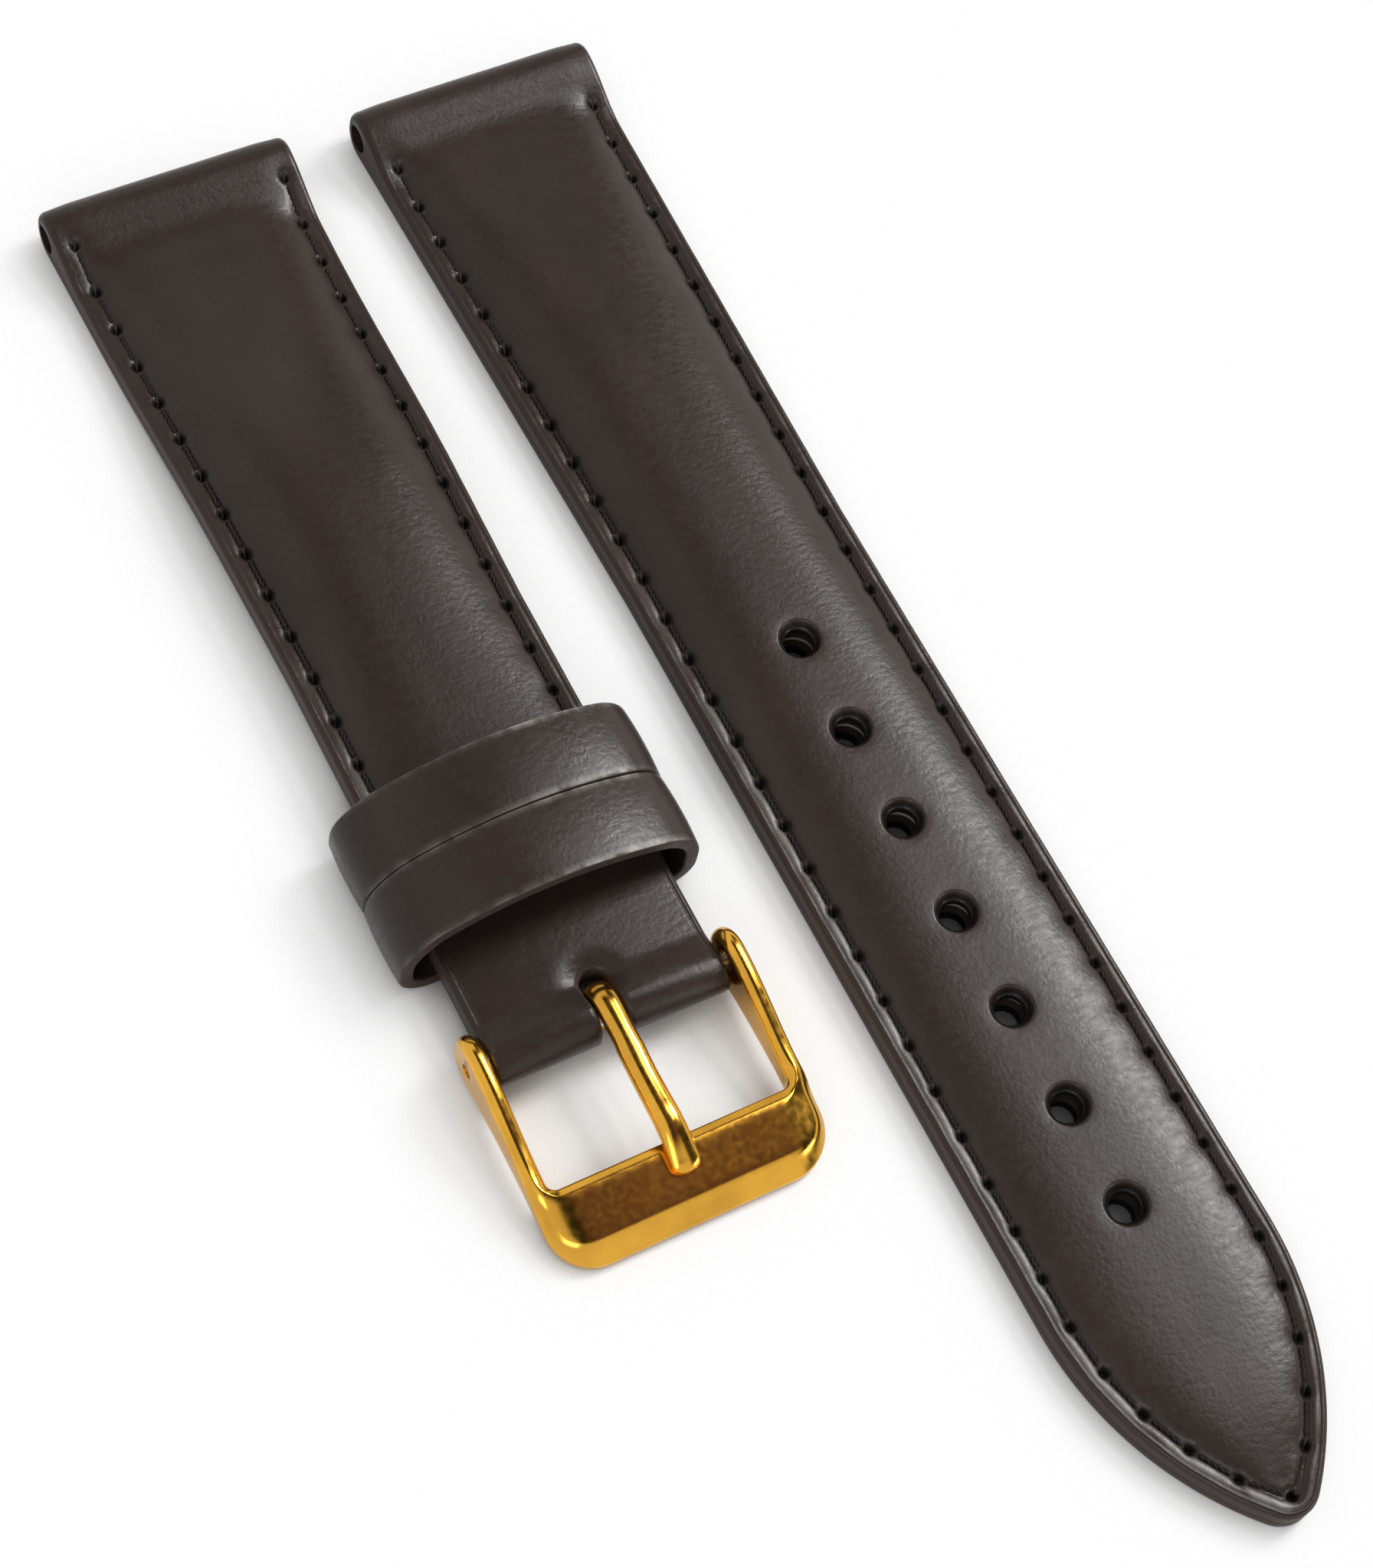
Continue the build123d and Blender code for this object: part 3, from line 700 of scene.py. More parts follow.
def punched_hole(skin, window):
    """The dished rim and the wall of one punched hole, fitted into its window in the grid."""
    place = window[2]
    rings = [ring(window, long_top)]
    rings += [ring(window, long_top, reach, rim_drop(reach)) for reach in RIM_REACHES]
    out = np.array([np.hypot(x, s - place) for x, s, _ in rings])
    # Painted shade darkens the dish towards the hole
    skin.rings(rings, shade=np.clip((RIM_SHADE_END - out) / RIM_SHADE_SOFT, 0, 1) * RIM_SHADE)
    x, s, _ = ring(window, long_bottom, HOLE_RADIUS)
    low = long_bottom(0 * x, 0 * s + place)
    high = rings[-1][2] - WALL_LIP
    wall = [rings[-1], *((x, s, high + (low - high) * share) for share in WALL_SHARES)]
    # Painted shade: the hole's wall is marked fully dark
    skin.rings(wall, finish=2, shade=np.ones((len(wall), len(x))))
    under = [ring(window, long_bottom, reach) for reach in UNDER_REACHES]
    skin.rings([wall[-1], *under, ring(window, long_bottom)])


def hole_windows(skin, x, s, patch):
    """Leaves out the faces round each punched hole and fits its rings; gives the faces kept."""
    rows, columns = x.shape
    keep = np.ones((rows - 1, 2 * columns + 2 * WALLS), bool)
    half_rows = round(MARGIN / ROW)
    for place in HOLE_PLACES:
        row = int(np.argmin(np.abs(s[:, columns // 2] - place)))
        near, far = np.flatnonzero(np.abs(x[row]) < MARGIN + CENTRE_STEP / 4)[[0, -1]]
        low, high = row - half_rows, row + half_rows
        under = 2 * columns + WALLS - 1 - far
        keep[low:high, near:far] = False
        keep[low:high, under : under + far - near] = False
        rim = [(low, column) for column in range(near, far)]
        rim += [(row, far) for row in range(low, high)]
        rim += [(high, column) for column in range(far, near, -1)]
        rim += [(row, near) for row in range(high, low, -1)]
        at = tuple(np.array(rim).T)
        patch(skin, (x[at], s[at], place))
    return keep


def lug_roll(skin, rows, x):
    """The rolled lug end, joined to the first of the rows that lead on from it."""
    distance = x.max() - np.abs(x)
    drop = rounding(distance, edge_round(ROLL_CREST)) + roll_end_fall(distance, ROLL_CREST)
    nose = nose_rows(
        x, ROLL_RADIUS, ROLL_CREST, ROLL_RADIUS, ROLL_CREST_HEIGHT - ROLL_RADIUS, -1, drop,
        rounding(distance, BELOW_ROUND),
    )
    joint = [np.concatenate([end[-1:], start[:1]]) for end, start in zip(nose, rows)]
    for part in (nose, joint):
        skin.block(*part, finish=loop_finish(part[0], UPPER_EDGE_COLUMNS))


def long_upper(materials):
    skin = Skin("long_upper", LONG_X)
    x, s = plan_grid(long_outline(first_row(ROLL_CREST)))
    rows = loops([x, s, long_top(x, s)], [x, s, long_bottom(x, s)])
    distance = long_edge_distance(x, s)
    marks = top_marks(needle_shade(x, s, distance, LONG_NEEDLE), margin_rub(x, s, distance))
    keep = hole_windows(skin, x, s, punched_hole)
    skin.block(*rows, keep=keep, finish=loop_finish(rows[0], UPPER_EDGE_COLUMNS), **marks)
    lug_roll(skin, rows, x[0])
    piece = skin.build(materials, "long_part", ["long_upper_leather"])
    bore(piece, LONG_X, TUNNEL_RADIUS, ROLL_RADIUS, ROLL_RADIUS)


def short_upper(materials):
    skin = Skin("short_upper", SHORT_X)
    places = np.concatenate([
        np.arange(ROLL_CREST, SLOT_START, ROW),
        SLOT_START + SLOT_HALF * (1 - np.cos(SLOT_TURNS)),
        np.arange(SLOT_START + SLOT_HALF + ROW, BAR_PLACE, ROW),
        [BAR_PLACE],
    ])
    grid = plan_grid(straight_outline(places, short_half))
    split = int(np.argmin(np.abs(places - SLOT_START)))
    x, s = (part[: split + 1] for part in grid)
    rows = loops([x, s, short_top(x, s)], [x, s, short_bottom(x, s)])
    distance = short_edge_distance(x, s)
    # Painted highlight on the margin, fading out at the seam's end
    rub = margin_rub(x, s, distance) * (1 - rise(s, *SHEEN_FADE))
    marks = top_marks(needle_shade(x, s, distance, SHORT_NEEDLE), rub)
    skin.block(*rows, finish=loop_finish(rows[0], UPPER_EDGE_COLUMNS), **marks)
    lug_roll(skin, rows, x[0])
    for side in (-1, 1):
        tab_half(skin, *(part[split:] for part in grid), side)
    piece = skin.build(materials, "short_part", ["short_upper_leather"])
    bore(piece, SHORT_X, TUNNEL_RADIUS, ROLL_RADIUS, ROLL_RADIUS)
    bore(piece, SHORT_X, BAR_RADIUS, BAR_PLACE, BAR_HEIGHT)


def tab_half(skin, x, s, side):
    """One side of the tab beside the slot, round its fold."""
    middle, margin = x.shape[1] // 2 + 1, len(MARGIN_STEPS)
    x, s = x[:, :middle], s[:, :middle]
    inner = x[:, margin - 1 : margin]
    before = np.clip(SLOT_START + SLOT_HALF - s[:, :1], 0, SLOT_HALF)
    slot_half = np.sqrt(SLOT_HALF**2 - before**2)
    share = np.clip(x[:, margin:] / inner, 0, 1)
    x = np.concatenate([x[:, :margin], (inner + slot_half) * share - slot_half], axis=1)
    if side > 0:
        x, s = -x[:, ::-1], s[:, ::-1]
    body = loops([x, s, short_top(x, s)], [x, s, short_bottom(x, s)])
    last = x[-1]
    edge, slot = TAB_HALF - np.abs(last), np.abs(last) - SLOT_HALF
    nose = nose_rows(
        last, FOLD_RADIUS, BAR_PLACE, BAR_HEIGHT,
        FOLD_RADIUS - TAB_CROWN * (last / TAB_HALF) ** 2, 1,
        rounding(edge, EDGE_ROUND) + rounding(slot, SLOT_SOFT),
        rounding(edge, BELOW_ROUND) + rounding(slot, BELOW_ROUND),
    )
    for part in (body, nose):
        skin.block(*part, finish=loop_finish(part[0], TAB_EDGE_COLUMNS))


# Lining, padding and tape

INNER_START = 4.6
LONG_INNER_END = LONG_LENGTH - 7.1
SHORT_INNER_END = SHORT_LENGTH - 16.2
INNER_INSET = 2.4
INNER_SHARES = np.linspace(-1, 1, 33)
BOARD_EDGE = 0.06
TAPE_GAP = 0.02
LONG_INNER_ROWS = 150
SHORT_INNER_ROWS = 90


def lining_top(distance):
    return SEAT - JOINT_GAP - rounding(distance, JOINT_ROUND)


def lining_low(x, s, distance, holes, sewn=1):
    """Underside of a lining, with the seam's groove and the needle holes."""
    groove = LOW_GROOVE * bump(distance - SEAM_INSET, SEAM_WIDTH) * sewn
    near = needle_distance(x, s, distance, holes)
    return rounding(distance, BELOW_ROUND) + groove + LOW_NEEDLE * bump(near, NEEDLE_RADIUS)


def long_lining_top(x, s):
    return lining_top(long_edge_distance(x, s))


def long_lining_low(x, s):
    return lining_low(x, s, long_edge_distance(x, s), LONG_NEEDLE)


def plain_hole(skin, window):
    """A hole with plain edges, fitted into its window in the long lining."""
    near, far = LINING_HOLE_RADIUS, LINING_HOLE_RADIUS + HOLE_LIP
    rings = [ring(window, long_lining_top, reach) for reach in (None, far, near)]
    rings += [ring(window, long_lining_low, reach) for reach in (near, far, None)]
    out = np.array([np.hypot(x, s - window[2]) for x, s, _ in rings])
    # Painted shade on the hole's wall
    skin.rings(rings, shade=(out < near + HOLE_LIP / 2).astype(float))


def linings(materials):
    skin = Skin("long_lining_skin", LONG_X)
    x, s = plan_grid(long_outline(first_row(LUG_FLAP + GLUE)), COARSE_MARGIN)
    keep = hole_windows(skin, x, s, plain_hole)
    rows = loops([x, s, long_lining_top(x, s)], [x, s, long_lining_low(x, s)])
    index = skin.block(*rows, keep=keep, finish=loop_finish(rows[0], LINING_EDGE_COLUMNS))
    skin.cap(index[0])
    skin.build(materials, "long_part", ["long_lining"])
    skin = Skin("short_lining_skin", SHORT_X)
    places = np.arange(LUG_FLAP + GLUE, TAB_FLAP - GLUE, ROW)
    x, s = plan_grid(straight_outline(places, short_half), COARSE_MARGIN)
    distance = short_edge_distance(x, s)
    low = lining_low(x, s, distance, SHORT_NEEDLE, s < LOW_GROOVE_END)
    rows = loops([x, s, lining_top(distance) + short_rise(s)], [x, s, low + short_rise(s)])
    skin.tube(*rows, finish=loop_finish(rows[0], LINING_EDGE_COLUMNS))
    skin.build(materials, "short_part", ["short_lining"])


def inner_layers(part, centre_x, places, half, top_at, rise_at, board, tape):
    """The skived board between the leathers, thin at its edges, and the tape that it lies on."""
    s = places[:, None] + 0 * INNER_SHARES
    x = (half - INNER_INSET)[:, None] * INNER_SHARES
    seat = SEAT + 0 * x + rise_at(s)
    low = seat + TAPE + GLUE
    top = np.maximum(top_at(x, s) - UPPER - GLUE, low + BOARD_EDGE)
    tape_low = seat + JOINT_GAP
    layers = (
        ("filler", "padding", board, top, low),
        ("tape", "stiffener", tape, tape_low + TAPE - TAPE_GAP, tape_low),
    )
    pieces = []
    for name, slot, material, top, low in layers:
        skin = Skin(f"{part}_{name}", centre_x)
        skin.tube(*loops([x, s, top], [x, s, low]))
        pieces.append(skin.build([material], f"{part}_part", [f"{part}_{slot}"]))
    return pieces


def fillings(board, tape):
    places = np.linspace(INNER_START, LONG_INNER_END, LONG_INNER_ROWS)
    half = long_edge_distance(0 * places, places)
    long_layers = inner_layers("long", LONG_X, places, half, long_top, np.zeros_like, board, tape)
    for piece in long_layers:
        punch(piece)
    places = np.linspace(INNER_START, SHORT_INNER_END, SHORT_INNER_ROWS)
    short_layers = inner_layers(
        "short", SHORT_X, places, short_half(places), short_top, short_rise, board, tape
    )


# Thread

THREAD_SINK = 0.09
THREAD_SHOW = 0.06
BOBBIN_LEVEL = 0.18
NEEDLE_DIP = 0.85
BOBBIN_DIP = -0.5
STITCH_STEPS = 26
STITCH_RAMP = 0.75
STITCH_SLANT = 0.07
STITCH_GAP = 0.04
PLY_RADIUS = 0.09
PLY_OFFSET = 0.065
PLY_PITCH = 0.9
PLY_TURNS = np.linspace(0, 2 * math.pi, 7, endpoint=False)[:, None]
UPWARDS = np.array((0, 0, 1.0))
SIDES = ((-1, "left"), (1, "right"))


def thread_level(s):
    sunk = THREAD_SINK * (1 - rise(s, *SEAM_FADE))
    return roll_height(s) - seam_depth(s) + THREAD_SHOW - sunk


def bobbin_level(s):
    return BOBBIN_LEVEL + 0 * s


def level_across(path):
    """The level direction across a path's chord."""
    return unit(np.cross(path[-1] - path[0], UPWARDS))


def stitch_path(start, end, level, dip):
    """A stitch's middle line: out of one needle hole, along the leather, into the next."""
    t = np.linspace(0, 1, STITCH_STEPS)
    span = end - start
    length = np.hypot(*span)
    near, far = (np.clip(part * length / STITCH_RAMP, 0, 1) for part in (t, 1 - t))
    out = (1 - np.cos(math.pi * near)) * (1 - np.cos(math.pi * far)) / 4
    slant = STITCH_SLANT * (t - 0.5)[:, None] * np.array([-span[1], span[0]]) / length
    plan = start + (STITCH_GAP + (1 - 2 * STITCH_GAP) * t)[:, None] * span + slant
    return np.column_stack([plan, level(plan[:, 1]) - dip * (1 - out)])


def strand(path):
    """The tube of one ply along a path that stays near one upright plane."""
    across = level_across(path)
    up = unit(np.cross(across, unit(np.gradient(path, axis=0))))
    ring_points = across * np.cos(PLY_TURNS) + up[:, None] * np.sin(PLY_TURNS)
    return np.moveaxis(path[:, None] + PLY_RADIUS * ring_points, -1, 0)


def sew(name, centre_x, rows, level, dip, body, replaces, material):
    """Two-ply stitches between the needle holes of each row."""
    skin = Skin(name, centre_x)
    for start, end in (pair for row in rows for pair in zip(row, row[1:])):
        path = stitch_path(start, end, level, dip)
        for phase in (0, math.pi):
            turn = (2 * math.pi * run_along(path) / PLY_PITCH + phase)[:, None]
            around = level_across(path) * np.cos(turn) + UPWARDS * np.sin(turn)
            skin.tube(*strand(path + PLY_OFFSET * around))
    skin.build([material], body, [replaces], merge=FINE_MERGE)


def threads(material):
    """Needle thread above and bobbin thread below, along each row of needle holes."""
    round_tip = np.concatenate([LONG_NEEDLE, LONG_NEEDLE[-2::-1] * (-1, 1)])
    rows = [("long", "", LONG_X, round_tip, np.zeros_like)]
    for side, name in SIDES:
        rows.append(("short", f"_{name}", SHORT_X, SHORT_NEEDLE * (side, 1), short_rise))
    kinds = (("needle", thread_level, NEEDLE_DIP), ("bobbin", bobbin_level, BOBBIN_DIP))
    for part, end, centre_x, row, rise_at in rows:
        for kind, base, dip in kinds:
            sew(
                f"{part}_{kind}_stitches{end}", centre_x, [row], lambda s: base(s) + rise_at(s),
                dip, f"{part}_part", f"{part}_{kind}_thread{end}", material,
            )


# Keepers

KEEPER_HALF = 10.0
KEEPER_HEIGHT = 8.3
KEEPER_SHOULDER = 5.7
KEEPER_WALL = 0.95
KEEPER_LENGTH = 5.1
KEEPER_SPACING = 0.15
KEEPER_JOINT = 0.05
KEEPER_LOWER_RADIUS = 2.2
KEEPER_UPPER_RADIUS = 3.9
KEEPER_SWELL = 0.12
KEEPER_SWELL_START = 2.0
KEEPER_CORNER = 0.17
KEEPER_SIDE_SHARE = 0.35
KEEPER_STEPS = 120
KEEPER_ARC_STEPS = 18
KEEPER_CORNER_STEPS = 6
KEEPER_STEP = 0.35
BULGE = 0.4
BULGE_PLACE = 2.4
BULGE_REACH = 3.4
SKEW_SPAN = (3, 8)
# Painted highlight lines along the keepers' outer edge corners
KEEPER_SHEEN_INSET = 0.05
KEEPER_SHEEN_WIDTH = 0.08
KEEPER_SHEEN_ABOVE = 4.0
KEEPER_SHEEN_LEAST = 0.25
KEEPER_SHEEN_LEFT = (-1, 3)
KEEPER_SHEEN_RIGHT = (7, 9)
KEEPER_STITCH_HALF = 1.3
KEEPER_STITCH_PLACE = 1.2
FIXED_FRONT = SHORT_LENGTH - 8.7
FREE_FRONT = FIXED_FRONT - KEEPER_LENGTH - KEEPER_SPACING
KEEPERS = (
    ("fixed", "short_part", FIXED_FRONT, -0.1),
    ("free", "free_keeper", FREE_FRONT, 0.16),
)


def keeper_path():
    """The loop's outer line from its joint underneath, round and back, with outward directions."""
    sagitta = KEEPER_HEIGHT - KEEPER_SHOULDER
    arch = (KEEPER_HALF**2 + sagitta**2) / (2 * sagitta)
    arch_z = KEEPER_HEIGHT - arch
    lower, upper = KEEPER_LOWER_RADIUS, KEEPER_UPPER_RADIUS
    upper_x = KEEPER_HALF - upper
    upper_z = arch_z + math.sqrt((arch - upper) ** 2 - upper_x**2)
    lean = math.asin(upper_x / (arch - upper))
    line = [np.array([(KEEPER_JOINT, 0, 0, -1)])]
    for centre, radius, start, end in (
        ((KEEPER_HALF - lower, lower), lower, math.pi, math.pi / 2),
        ((upper_x, upper_z), upper, math.pi / 2, lean),
        ((0, arch_z), arch, lean, 0),
    ):
        turns = np.linspace(start, end, KEEPER_ARC_STEPS)
        out = np.stack([np.sin(turns), np.cos(turns)], axis=1)
        line.append(np.concatenate([centre + radius * out, out], axis=1))
    right = resample(np.concatenate(line), KEEPER_STEPS)
    whole = np.concatenate([right, right[-2::-1] * (-1, 1, -1, 1)])
    return (*whole[:, :2].T, *unit(whole[:, 2:]).T)


def keeper_section():
    """Closed outline of the leather strip: places along the strap and depths from outside."""
    corner = KEEPER_CORNER
    reach = KEEPER_LENGTH / 2 + KEEPER_SPACING * KEEPER_SIDE_SHARE - corner
    low, high = corner, KEEPER_WALL - corner
    points = []
    for quarter, (along, depth) in enumerate(
        ((reach, low), (reach, high), (-reach, high), (-reach, low))
    ):
        turns = np.linspace(0, math.pi / 2, KEEPER_CORNER_STEPS)
        for angle in turns + quarter * math.pi / 2:
            points.append((along + corner * math.sin(angle), depth - corner * math.cos(angle)))
    dense = []
    for (a, b), (c, d) in zip(points, points[1:] + points[:1]):
        steps = max(1, math.ceil(math.hypot(c - a, d - b) / KEEPER_STEP))
        for t in np.linspace(0, 1, steps, endpoint=False):
            dense.append((a + (c - a) * t, b + (d - b) * t))
    return np.array(dense).T


def keeper(name, body, front, skew, materials):
    """A leather loop, swollen over its outside, bulged at its left and a little askew."""
    skin = Skin(f"{name}_keeper_loop", SHORT_X)
    x, z, out_x, out_z = (part[:, None] for part in keeper_path())
    along, deep = keeper_section()
    outside = np.clip(1 - deep / KEEPER_WALL, 0, 1)
    swell = KEEPER_SWELL * (1 - (along / (KEEPER_LENGTH / 2)) ** 2) * (2 * outside - 1)
    depth = deep - swell * rise(z, 0, KEEPER_SWELL_START) * (outside > 0.5)
    bulge = BULGE * np.clip(1 - ((z - BULGE_PLACE) / BULGE_REACH) ** 2, 0, 1)
    bulge = bulge * rise(-x, 0, KEEPER_HALF / 2)
    lift = skew * rise(z, *SKEW_SPAN) * x / KEEPER_HALF
    past_edge = np.abs(along) - KEEPER_LENGTH / 2
    edge = (past_edge > -KEEPER_CORNER / 2) & (deep > KEEPER_CORNER / 2)
    # Painted highlight: a thin line on the outer corner of each edge, over the top, strongest
    # right of the middle
    wear_and_sheen = bump(past_edge + KEEPER_SHEEN_INSET, KEEPER_SHEEN_WIDTH) * (deep < KEEPER_CORNER)
    share = rise(x, *KEEPER_SHEEN_LEFT) * (1 - rise(x, *KEEPER_SHEEN_RIGHT))
    rub = (z > KEEPER_SHEEN_ABOVE) * (KEEPER_SHEEN_LEAST + (1 - KEEPER_SHEEN_LEAST) * share) * wear_and_sheen
    skin.tube(
        x - bulge - out_x * depth, front - KEEPER_LENGTH / 2 - along + 0 * depth,
        z - out_z * depth + lift, ends=1, finish=edge.astype(int), rub=rub,
    )
    skin.build(materials, body, [f"{name}_keeper"])


def keepers(materials, thread):
    for name, body, front, skew in KEEPERS:
        keeper(name, body, front, skew, materials)
    for name, body, front, _ in KEEPERS:
        middle = front - KEEPER_LENGTH / 2
        rows = [
            np.array([(end * KEEPER_STITCH_HALF, middle + side * KEEPER_STITCH_PLACE)
                      for end in (-1, 1)])
            for side in (-1, 1)
        ]
        sew(
            f"{name}_keeper_stitches", SHORT_X, rows, bobbin_level, BOBBIN_DIP, body,
            f"{name}_keeper_thread", thread,
        )


# Buckle

GAP_HALF = 8.1
ARM = 1.2
FRAME_HALF = GAP_HALF + ARM
LOBE = 2.05
PLATE_REAR = 8.9
PLATE_FRONT = 13.8
REAR_HEIGHT = 2.95
FRONT_HEIGHT = 1.7
CORNER = 3.0
WINDOW_CORNER = 0.6
WINDOW = (GAP_HALF, PLATE_REAR, WINDOW_CORNER)
OUTSIDE = (FRAME_HALF, PLATE_FRONT, CORNER)
ARM_END = PLATE_REAR - WINDOW_CORNER - 0.9
CORNER_END = FRAME_HALF - CORNER - 0.6
BELLY = 0.9
PLATE_BLEND = 2.2
ARM_ROUND = 0.58
LOW_ROUND = 0.3
BEVEL = 1.05
SIDE_BEVEL = 0.42
BEVEL_SLOPE = 0.95
BEVEL_SOFT = 0.1
REAR_BEVEL = 0.62
REAR_SLOPE = 0.67
REAR_SOFT = 0.07
REAR_ROUND = 0.16
END_FALL = 0.58
END_REACH = 2.35
END_FADE = (-1, 1)
TIP_HOLE_RADIUS = 0.45
ARM_STEPS = 34
WINDOW_CORNER_STEPS = 12
CORNER_STEPS = 24
SIDE_STEPS = 46
PLATE_STEPS = 26
LOBE_TURNS = np.linspace(math.pi / 2, 0, 15)
SECTION_EVEN = np.linspace(0, 1, 40)
SECTION_SHARES = SECTION_EVEN - 0.12 * np.sin(2 * math.pi * SECTION_EVEN)


def frame_line(half, front, radius, steps):
    """The window's line or the outside's: right lobe, arm, corner, plate and back to the left."""
    places = np.concatenate([-LOBE * np.sin(LOBE_TURNS), np.linspace(0, ARM_END, ARM_STEPS)[1:]])
    arm = np.stack([half + 0 * places, places], axis=1)
    turns = np.linspace(0, math.pi / 2, steps)
    arc = np.stack([np.cos(turns), np.sin(turns)], axis=1) * radius
    arc = arc + (half - radius, front - radius)
    corner = resample([(half, ARM_END), *arc, (CORNER_END, front)], SIDE_STEPS)[1:]
    across = np.linspace(CORNER_END, 0, PLATE_STEPS)[1:]
    line = np.concatenate([arm, corner, np.stack([across, front + 0 * across], axis=1)])
    return np.concatenate([line, line[-2::-1] * (-1, 1)])


def frame_top(place):
    """Height of the frame's top line over the surface, place measured from the bar's axis."""
    lobe_top = BAR_HEIGHT + LOBE
    arm = lobe_top + (REAR_HEIGHT - lobe_top) * rise(place, 0, PLATE_REAR)
    share = (place - PLATE_REAR) / (PLATE_FRONT - PLATE_REAR)
    return np.where(place < PLATE_REAR, arm, REAR_HEIGHT + (FRONT_HEIGHT - REAR_HEIGHT) * share)


def frame_low(place):
    """Height of the frame's underside: a curve through the lobe, the belly and the front."""
    x = np.array([0, PLATE_REAR, PLATE_FRONT])
    z = np.array([BAR_HEIGHT - LOBE, BELLY, 0.0])
    return np.polyval(np.polyfit(x, z, 2), place)


def past_corner(x, place, half, front, radius):
    """How far a point lies past the centres of rounded corners, across and along."""
    return np.maximum(np.abs(x) - (half - radius), 0), np.maximum(place - (front - radius), 0)


def past_outline(x, place, half, front, radius):
    """How far a point lies outside a rounded outline of the frame, seen from above."""
    dx, dy = past_corner(x, place, half, front, radius)
    flat = np.maximum(np.abs(x) - half, place - front)
    return np.where((dx > 0) & (dy > 0), np.hypot(dx, dy) - radius, flat)


def bevel_width(x, place):
    """The bevel is broad along the front and narrow at the sides."""
    dx, dy = past_corner(x, place, *OUTSIDE)
    frontal = np.where(dx > 0, dy**2 / np.maximum(dx**2 + dy**2, TINY), 1.0)
    return SIDE_BEVEL + (BEVEL - SIDE_BEVEL) * frontal


def bevel_drop(distance, width, slope, soft):
    """A bevel with soft shoulders."""
    return soft * np.logaddexp(0, (width - distance) * slope / soft)


def frame_drop(x, place, inside, window):
    """How far the frame's rounded and bevelled sides lie below its top."""
    plate_share = rise(place, PLATE_REAR - PLATE_BLEND, PLATE_REAR)
    ends = END_FALL * np.clip((np.abs(x) - FRAME_HALF + END_REACH) / END_REACH, 0, 1) ** 2
    front = bevel_drop(inside, bevel_width(x, place), BEVEL_SLOPE, BEVEL_SOFT)
    front = front + ends * rise(place - PLATE_REAR, *END_FADE)
    rear = rounding(window, REAR_ROUND) + bevel_drop(window, REAR_BEVEL, REAR_SLOPE, REAR_SOFT)
    drops = []
    for distance, plate in ((inside, front), (window, rear)):
        arm = rounding(distance, ARM_ROUND)
        drops.append(arm + (plate - arm) * plate_share)
    return np.maximum(*drops)


def buckle_frame(material):
    skin = Skin("buckle_frame_skin", SHORT_X)
    inner = frame_line(*WINDOW, WINDOW_CORNER_STEPS)
    outer = frame_line(*OUTSIDE, CORNER_STEPS)
    turns = np.zeros((len(inner), 1))
    turns[: len(LOBE_TURNS), 0] = LOBE_TURNS
    turns = np.maximum(turns, turns[::-1])
    lobe = turns > 0
    x = inner[:, :1] + (outer - inner)[:, :1] * SECTION_SHARES
    place = np.where(lobe, 0.0, inner[:, 1:] + (outer - inner)[:, 1:] * SECTION_SHARES)
    inside, window = -past_outline(x, place, *OUTSIDE), past_outline(x, place, *WINDOW)
    drop = frame_drop(x, place, inside, window)
    side = rounding(inside, LOW_ROUND) + rounding(window, LOW_ROUND)
    top_radius = LOBE - drop
    low_radius = LOBE - side * np.cos(turns) - drop * (1 - np.cos(turns))
    top = np.where(lobe, BAR_HEIGHT + top_radius * np.cos(turns), frame_top(place) - drop)
    low = np.where(lobe, BAR_HEIGHT - low_radius * np.cos(turns), frame_low(place) + side)
    top_s = BAR_PLACE + np.where(lobe, -top_radius * np.sin(turns), place)
    low_s = BAR_PLACE + np.where(lobe, -low_radius * np.sin(turns), place)
    skin.block(*loops([x, top_s, top], [x, low_s, low]))
    piece = skin.build([material], "buckle_frame", ["buckle_frame"])
    bore(piece, SHORT_X, TIP_HOLE_RADIUS, BAR_PLACE, BAR_HEIGHT)


ROOT_WIDTH = 1.65
TONGUE_WIDTH = 1.86
WIDTH_SPAN = (2, 3.6)
TONGUE_THICKNESS = 1.4
TIP_THICKNESS = 0.6
KNEE = 7.9
TONGUE_END = 11.3
CURL_THICKNESS = 1.2
CURL_RADIUS = BAR_RADIUS + CURL_THICKNESS / 2
CURL_TURNS = np.radians(np.linspace(285, 82, 50))
GROW_LEAD = 8
GROW_LENGTH = 3.0
SHANK_STEPS = 96
SMOOTHINGS = 12
SMOOTH_SPAN = (30, -6)
TIP_ROUND = 0.7
CURL_ROUND = 0.3
CURL_TAPER = 0.4
LEAST_TIP = 0.03
WAIST = 0.07
WAIST_PLACE = 4.5
WAIST_REACH = 3.0
SQUARENESS = 2.15
TONGUE_SIDES = 40
# Places from the bar's axis and heights along the tongue's top
TONGUE_TOP = (
    (2.7, 4.56), (4.9, 4.34), (6.9, 4.37), (KNEE, 4.42), (8.6, 4.27), (9.6, 3.86), (10.6, 3.32),
    (TONGUE_END, 2.99),
)


def tongue_thickness(place):
    """The tongue thins from its knee to the tip that lies on the plate."""
    return TONGUE_THICKNESS + (TIP_THICKNESS - TONGUE_THICKNESS) * rise(place, KNEE, TONGUE_END)


